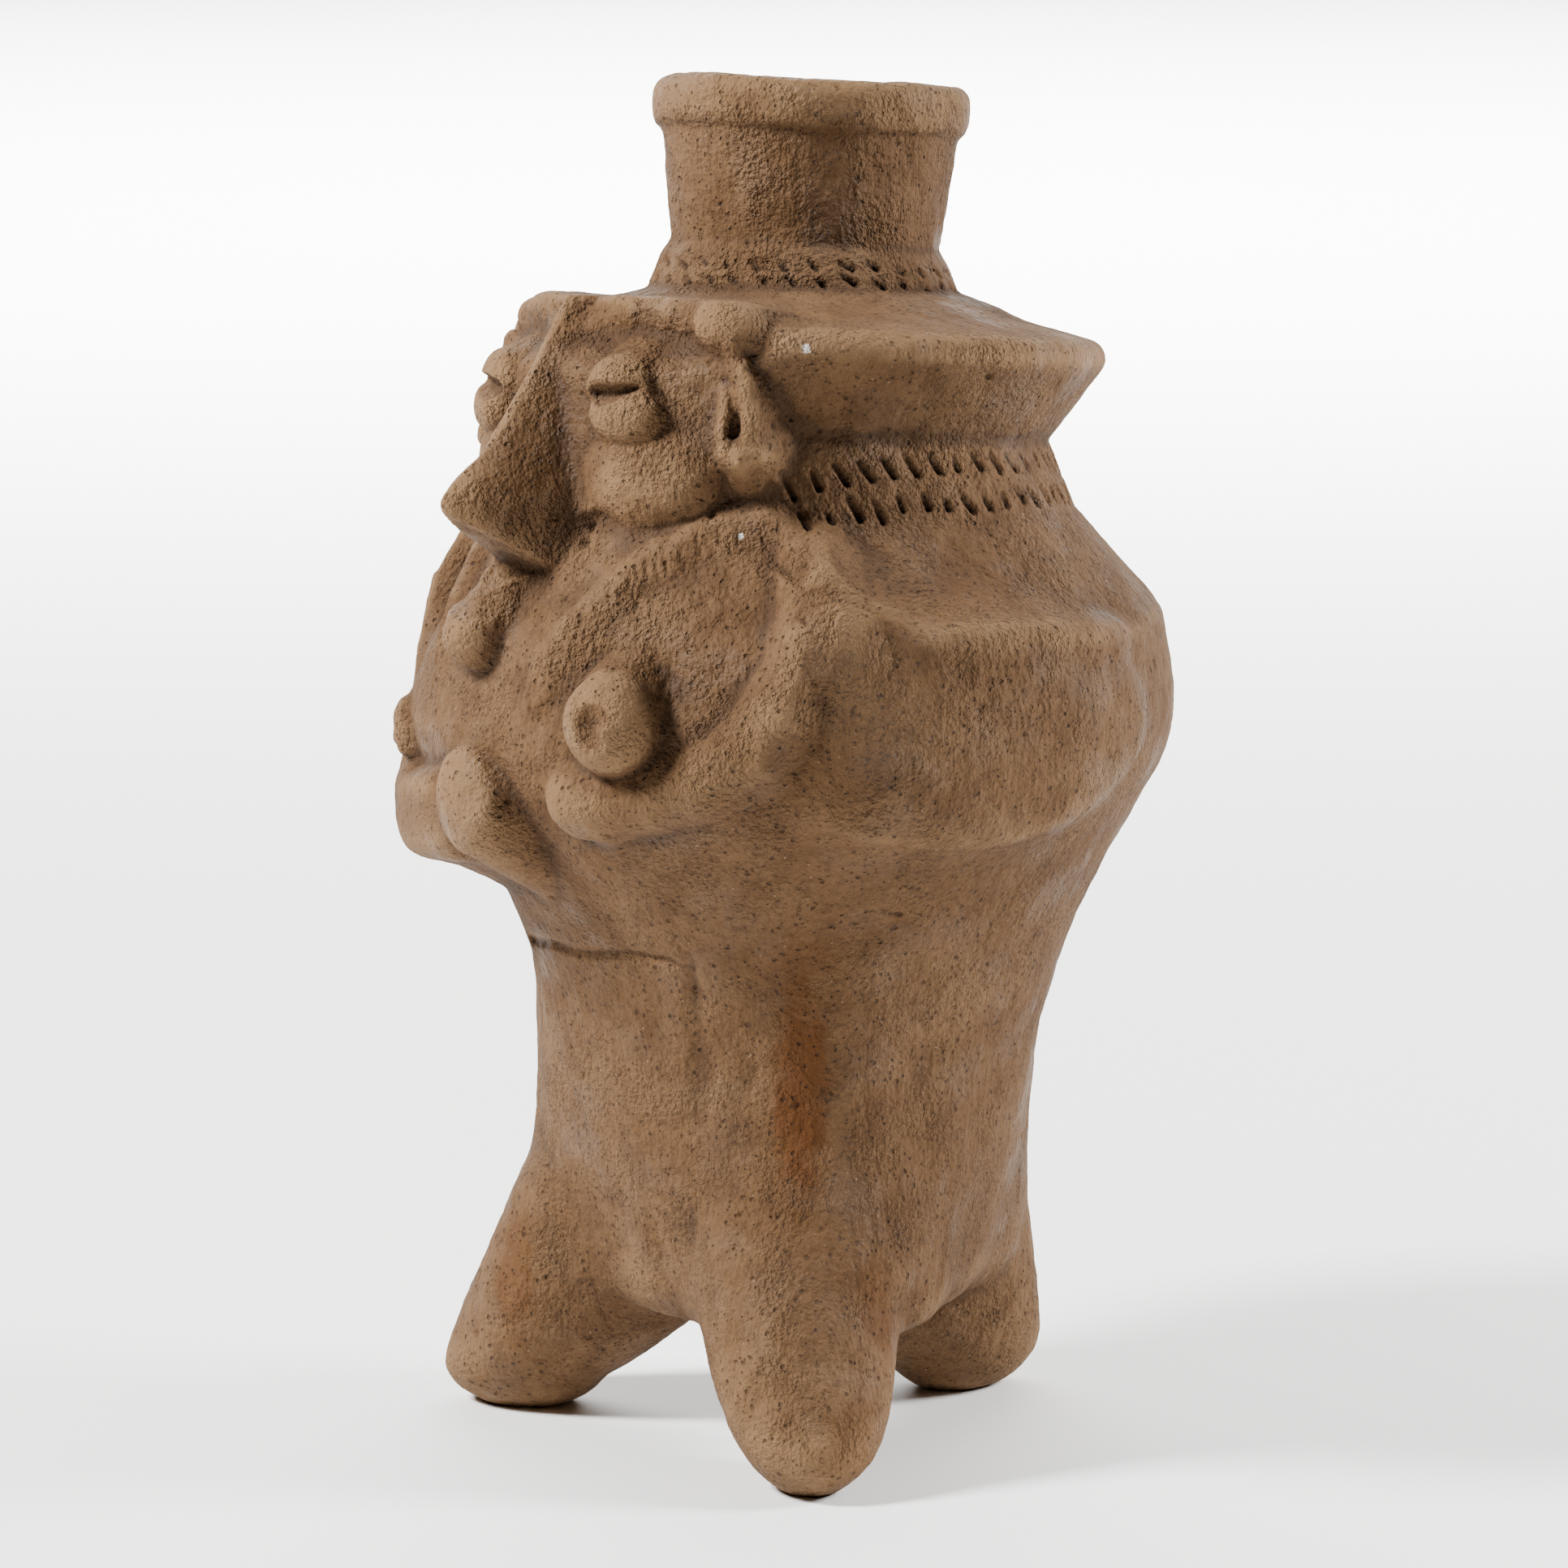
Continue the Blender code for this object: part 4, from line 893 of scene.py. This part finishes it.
def specks(grain, size, share):
    """Burnt-out grains: small round pits in a share of the cells of a grain size, from 0 to 1."""
    scaled = add_node(finish, "ShaderNodeVectorMath", (
        coordinates, [1.0 / grain / MILLIMETRE] * 3), operation="MULTIPLY")
    bent = add_node(finish, "ShaderNodeTexNoise", {"Vector": scaled, "Scale": 1.7, "Detail": 2.0})
    warped = add_node(finish, "ShaderNodeVectorMath", (bent.outputs["Color"], [0.5] * 3, scaled),
                      operation="MULTIPLY_ADD")
    cells = add_node(finish, "ShaderNodeTexVoronoi", {"Vector": warped, "Scale": 1.0})
    picked = add_node(finish, "ShaderNodeSeparateColor", {0: cells.outputs["Color"]})
    chosen = add_node(finish, "ShaderNodeMath", (picked, share), operation="LESS_THAN")
    pit = add_node(finish, "ShaderNodeMapRange", (cells, 0.35 * size / grain, size / grain, 1.0, 0.0),
                   **SMOOTH)
    return add_node(finish, "ShaderNodeMath", (pit, chosen), operation="MULTIPLY")


def coat(colour, pattern, low, high, start, end, code):
    """Lays a colour on, in a share that goes from start to end as its pattern goes from low to high."""
    share = add_node(finish, "ShaderNodeMapRange", (pattern, low, high, start, end), **SMOOTH)
    return add_node(finish, "ShaderNodeMix", {0: share, 6: colour, 7: linear(code)},
                    data_type="RGBA").outputs[2]


sunk_of, crease_of = [add_node(finish, "ShaderNodeAttribute", attribute_name=name).outputs["Fac"]
                      for name in ("sunk", "crease")]
coats = [(mottled(34.0), 0.35, 0.65, 0.0, 1.0, PALE_CLAY), (mottled(9.0, 4.0), 0.42, 0.68, 0.0, 0.5, SMOKE),
         (mottled(1.6, 5.0, 0.75), 0.48, 0.66, 0.0, 0.42, EARTH),
         (mottled(1.8, 4.0, 0.7, (1.0, 1.0, 0.18)), 0.52, 0.7, 0.0, 0.25, STREAK),
         (mottled(0.6, 4.0, 0.8), 0.55, 0.66, 0.0, 0.5, SOIL_AND_SHADE), (mottled(0.7, 2.0), 0.68, 0.8, 0.0, 0.4, SAND)]
coats += [(patch(place, reach, 4.0, 1.2), 1.0, 1.75, share, 0.0, IRON) for place, reach, share in STAINS]
# Painted shade: pits and stick marks darken with their depth, and creases darken. Painted highlight, with
# some rubbing wear: crests lighten
coats += [(sunk_of, -0.7, -0.05, 0.6, 0.0, PIT_SHADE), (crease_of, 0.05, 0.7, 0.0, 0.55, SOIL_AND_SHADE),
          (crease_of, -1.4, -0.4, 0.35, 0.0, LIT_AND_RUBBED_CLAY)]
colour = linear(TAN_CLAY)
for layer in coats:
    colour = coat(colour, *layer)

# Sand finer than half a millimetre wouldn't show in the render, so the finest is drawn at 0.9 mm
rough_here = add_node(finish, "ShaderNodeMapRange", (mottled(17.0, 2.0), 0.42, 0.62, 0.35, 1.0), **SMOOTH)
sand = add_node(finish, "ShaderNodeMath", (mottled(0.9, 2.0, 0.6), rough_here), operation="MULTIPLY")
relief = [(sand, 1.4), (mottled(2.4, 2.0), 0.4), (mottled(6.0, 2.0), 1.2),
          (mottled(2.0, 2.0, 0.6, (1.0, 1.0, 0.2)), 0.5)]
for grain, size, share, soil, depth in BURNT_GRAINS:
    pit = specks(grain, size, share)
    soiled = add_node(finish, "ShaderNodeMath", (pit, soil), operation="MULTIPLY")
    colour = add_node(finish, "ShaderNodeMix", {0: soiled, 6: colour, 7: linear(BURNT)},
                      data_type="RGBA").outputs[2]
    relief.append((pit, -depth))
for place, reach in FLECKS:
    colour = coat(colour, patch(place, [reach] * 3, 1.0, 1.6), 1.2, 1.5, 0.9, 0.0, LIME)
height = 0.0
for pattern, weight in relief:
    height = add_node(finish, "ShaderNodeMath", (pattern, weight, height), operation="MULTIPLY_ADD")
bump = add_node(finish, "ShaderNodeBump", {"Strength": 1.0, "Distance": MILLIMETRE, "Height": height})
worn = add_node(finish, "ShaderNodeMapRange", (mottled(14.0), 0.45, 0.7), **SMOOTH)
gloss = add_node(finish, "ShaderNodeMapRange", (worn, 0.0, 1.0, 0.85, 0.62), **SMOOTH)
for socket, value in (("Base Color", colour), ("Normal", bump.outputs[0]), ("Roughness", gloss.outputs[0])):
    finish.links.new(value, shader.inputs[socket])


# THE FLOOR, THE LIGHT AND THE CAMERA
# A plain pale sweep under soft light from the upper left, seen from the figure's left front.

VIEW_TURN = math.radians(55.5)
TOWARD = np.array([math.sin(VIEW_TURN), -math.cos(VIEW_TURN), 0.0])
RIGHT = np.array([math.cos(VIEW_TURN), math.sin(VIEW_TURN), 0.0])
UP = np.array([0.0, 0.0, 1.0])

bpy.ops.mesh.primitive_plane_add(size=60.0)
floor = bpy.context.object
floor.name = "floor"
paper = bpy.data.materials.new("pale floor, matt card")
paper.use_nodes = True
card = paper.node_tree.nodes["Principled BSDF"]
card.inputs["Base Color"].default_value = linear("f2f1ef")
card.inputs["Roughness"].default_value = 0.9
floor.data.materials.append(paper)

world = bpy.data.worlds.new("studio")
bpy.context.scene.world = world
world.use_nodes = True
world.node_tree.nodes["Background"].inputs["Strength"].default_value = 0.0


def aimed(line):
    """The turn that points a lamp or a camera along a line."""
    return Vector(line).to_track_quat("-Z", "Y").to_euler()


# Each soft box's turn from the camera's line and its climb, in degrees, its power and its size
SOFT_BOXES = {"key": (-74.0, 42.0, 40.0, 0.24), "side": (92.0, 28.0, 27.0, 0.32)}
BOX_DISTANCE, BOX_AIM_HEIGHT = 1.1, 0.12
for name, (side, climb, power, size) in SOFT_BOXES.items():
    turn, climb = VIEW_TURN + math.radians(side), math.radians(climb)
    line = np.array([math.sin(turn) * math.cos(climb), -math.cos(turn) * math.cos(climb), math.sin(climb)])
    box = put(name, bpy.data.lights.new(name, "AREA"))
    box.data.energy, box.data.size = power, size
    box.location = line * BOX_DISTANCE + UP * BOX_AIM_HEIGHT
    box.rotation_euler = aimed(-line)

# A large lamp behind the jar whitens the card
BACKDROP_POWER, BACKDROP_SIZE, BACKDROP_BACK, BACKDROP_HEIGHT, BACKDROP_LEAN = 900.0, 3.2, 3.0, 1.7, 0.35
backdrop = put("backdrop", bpy.data.lights.new("backdrop", "AREA"))
backdrop.data.energy, backdrop.data.size = BACKDROP_POWER, BACKDROP_SIZE
backdrop.location = -BACKDROP_BACK * TOWARD + UP * BACKDROP_HEIGHT
backdrop.rotation_euler = aimed(-BACKDROP_LEAN * TOWARD - UP)

# The camera stands level with the hat and looks a little down, through a long lens
SENSOR_WIDTH, FOCAL_PIXELS, FRAME_PIXELS = 36.0, 8888.0, 1932.0
CAMERA_SIDE, CAMERA_DISTANCE, CAMERA_HEIGHT, CAMERA_DIP = 0.0035, 1.3041, 0.334, math.radians(9.3)
camera = put("camera", bpy.data.cameras.new("camera"))
camera.data.sensor_width = SENSOR_WIDTH
camera.data.lens = SENSOR_WIDTH * FOCAL_PIXELS / FRAME_PIXELS
camera.data.clip_start = 0.05
feet_centre = np.array([shift[0], shift[1], 0.0])
camera.location = feet_centre + RIGHT * CAMERA_SIDE + TOWARD * CAMERA_DISTANCE + UP * CAMERA_HEIGHT
camera.rotation_euler = aimed(-TOWARD * math.cos(CAMERA_DIP) - UP * math.sin(CAMERA_DIP))
bpy.context.scene.camera = camera
bpy.context.view_layer.update()
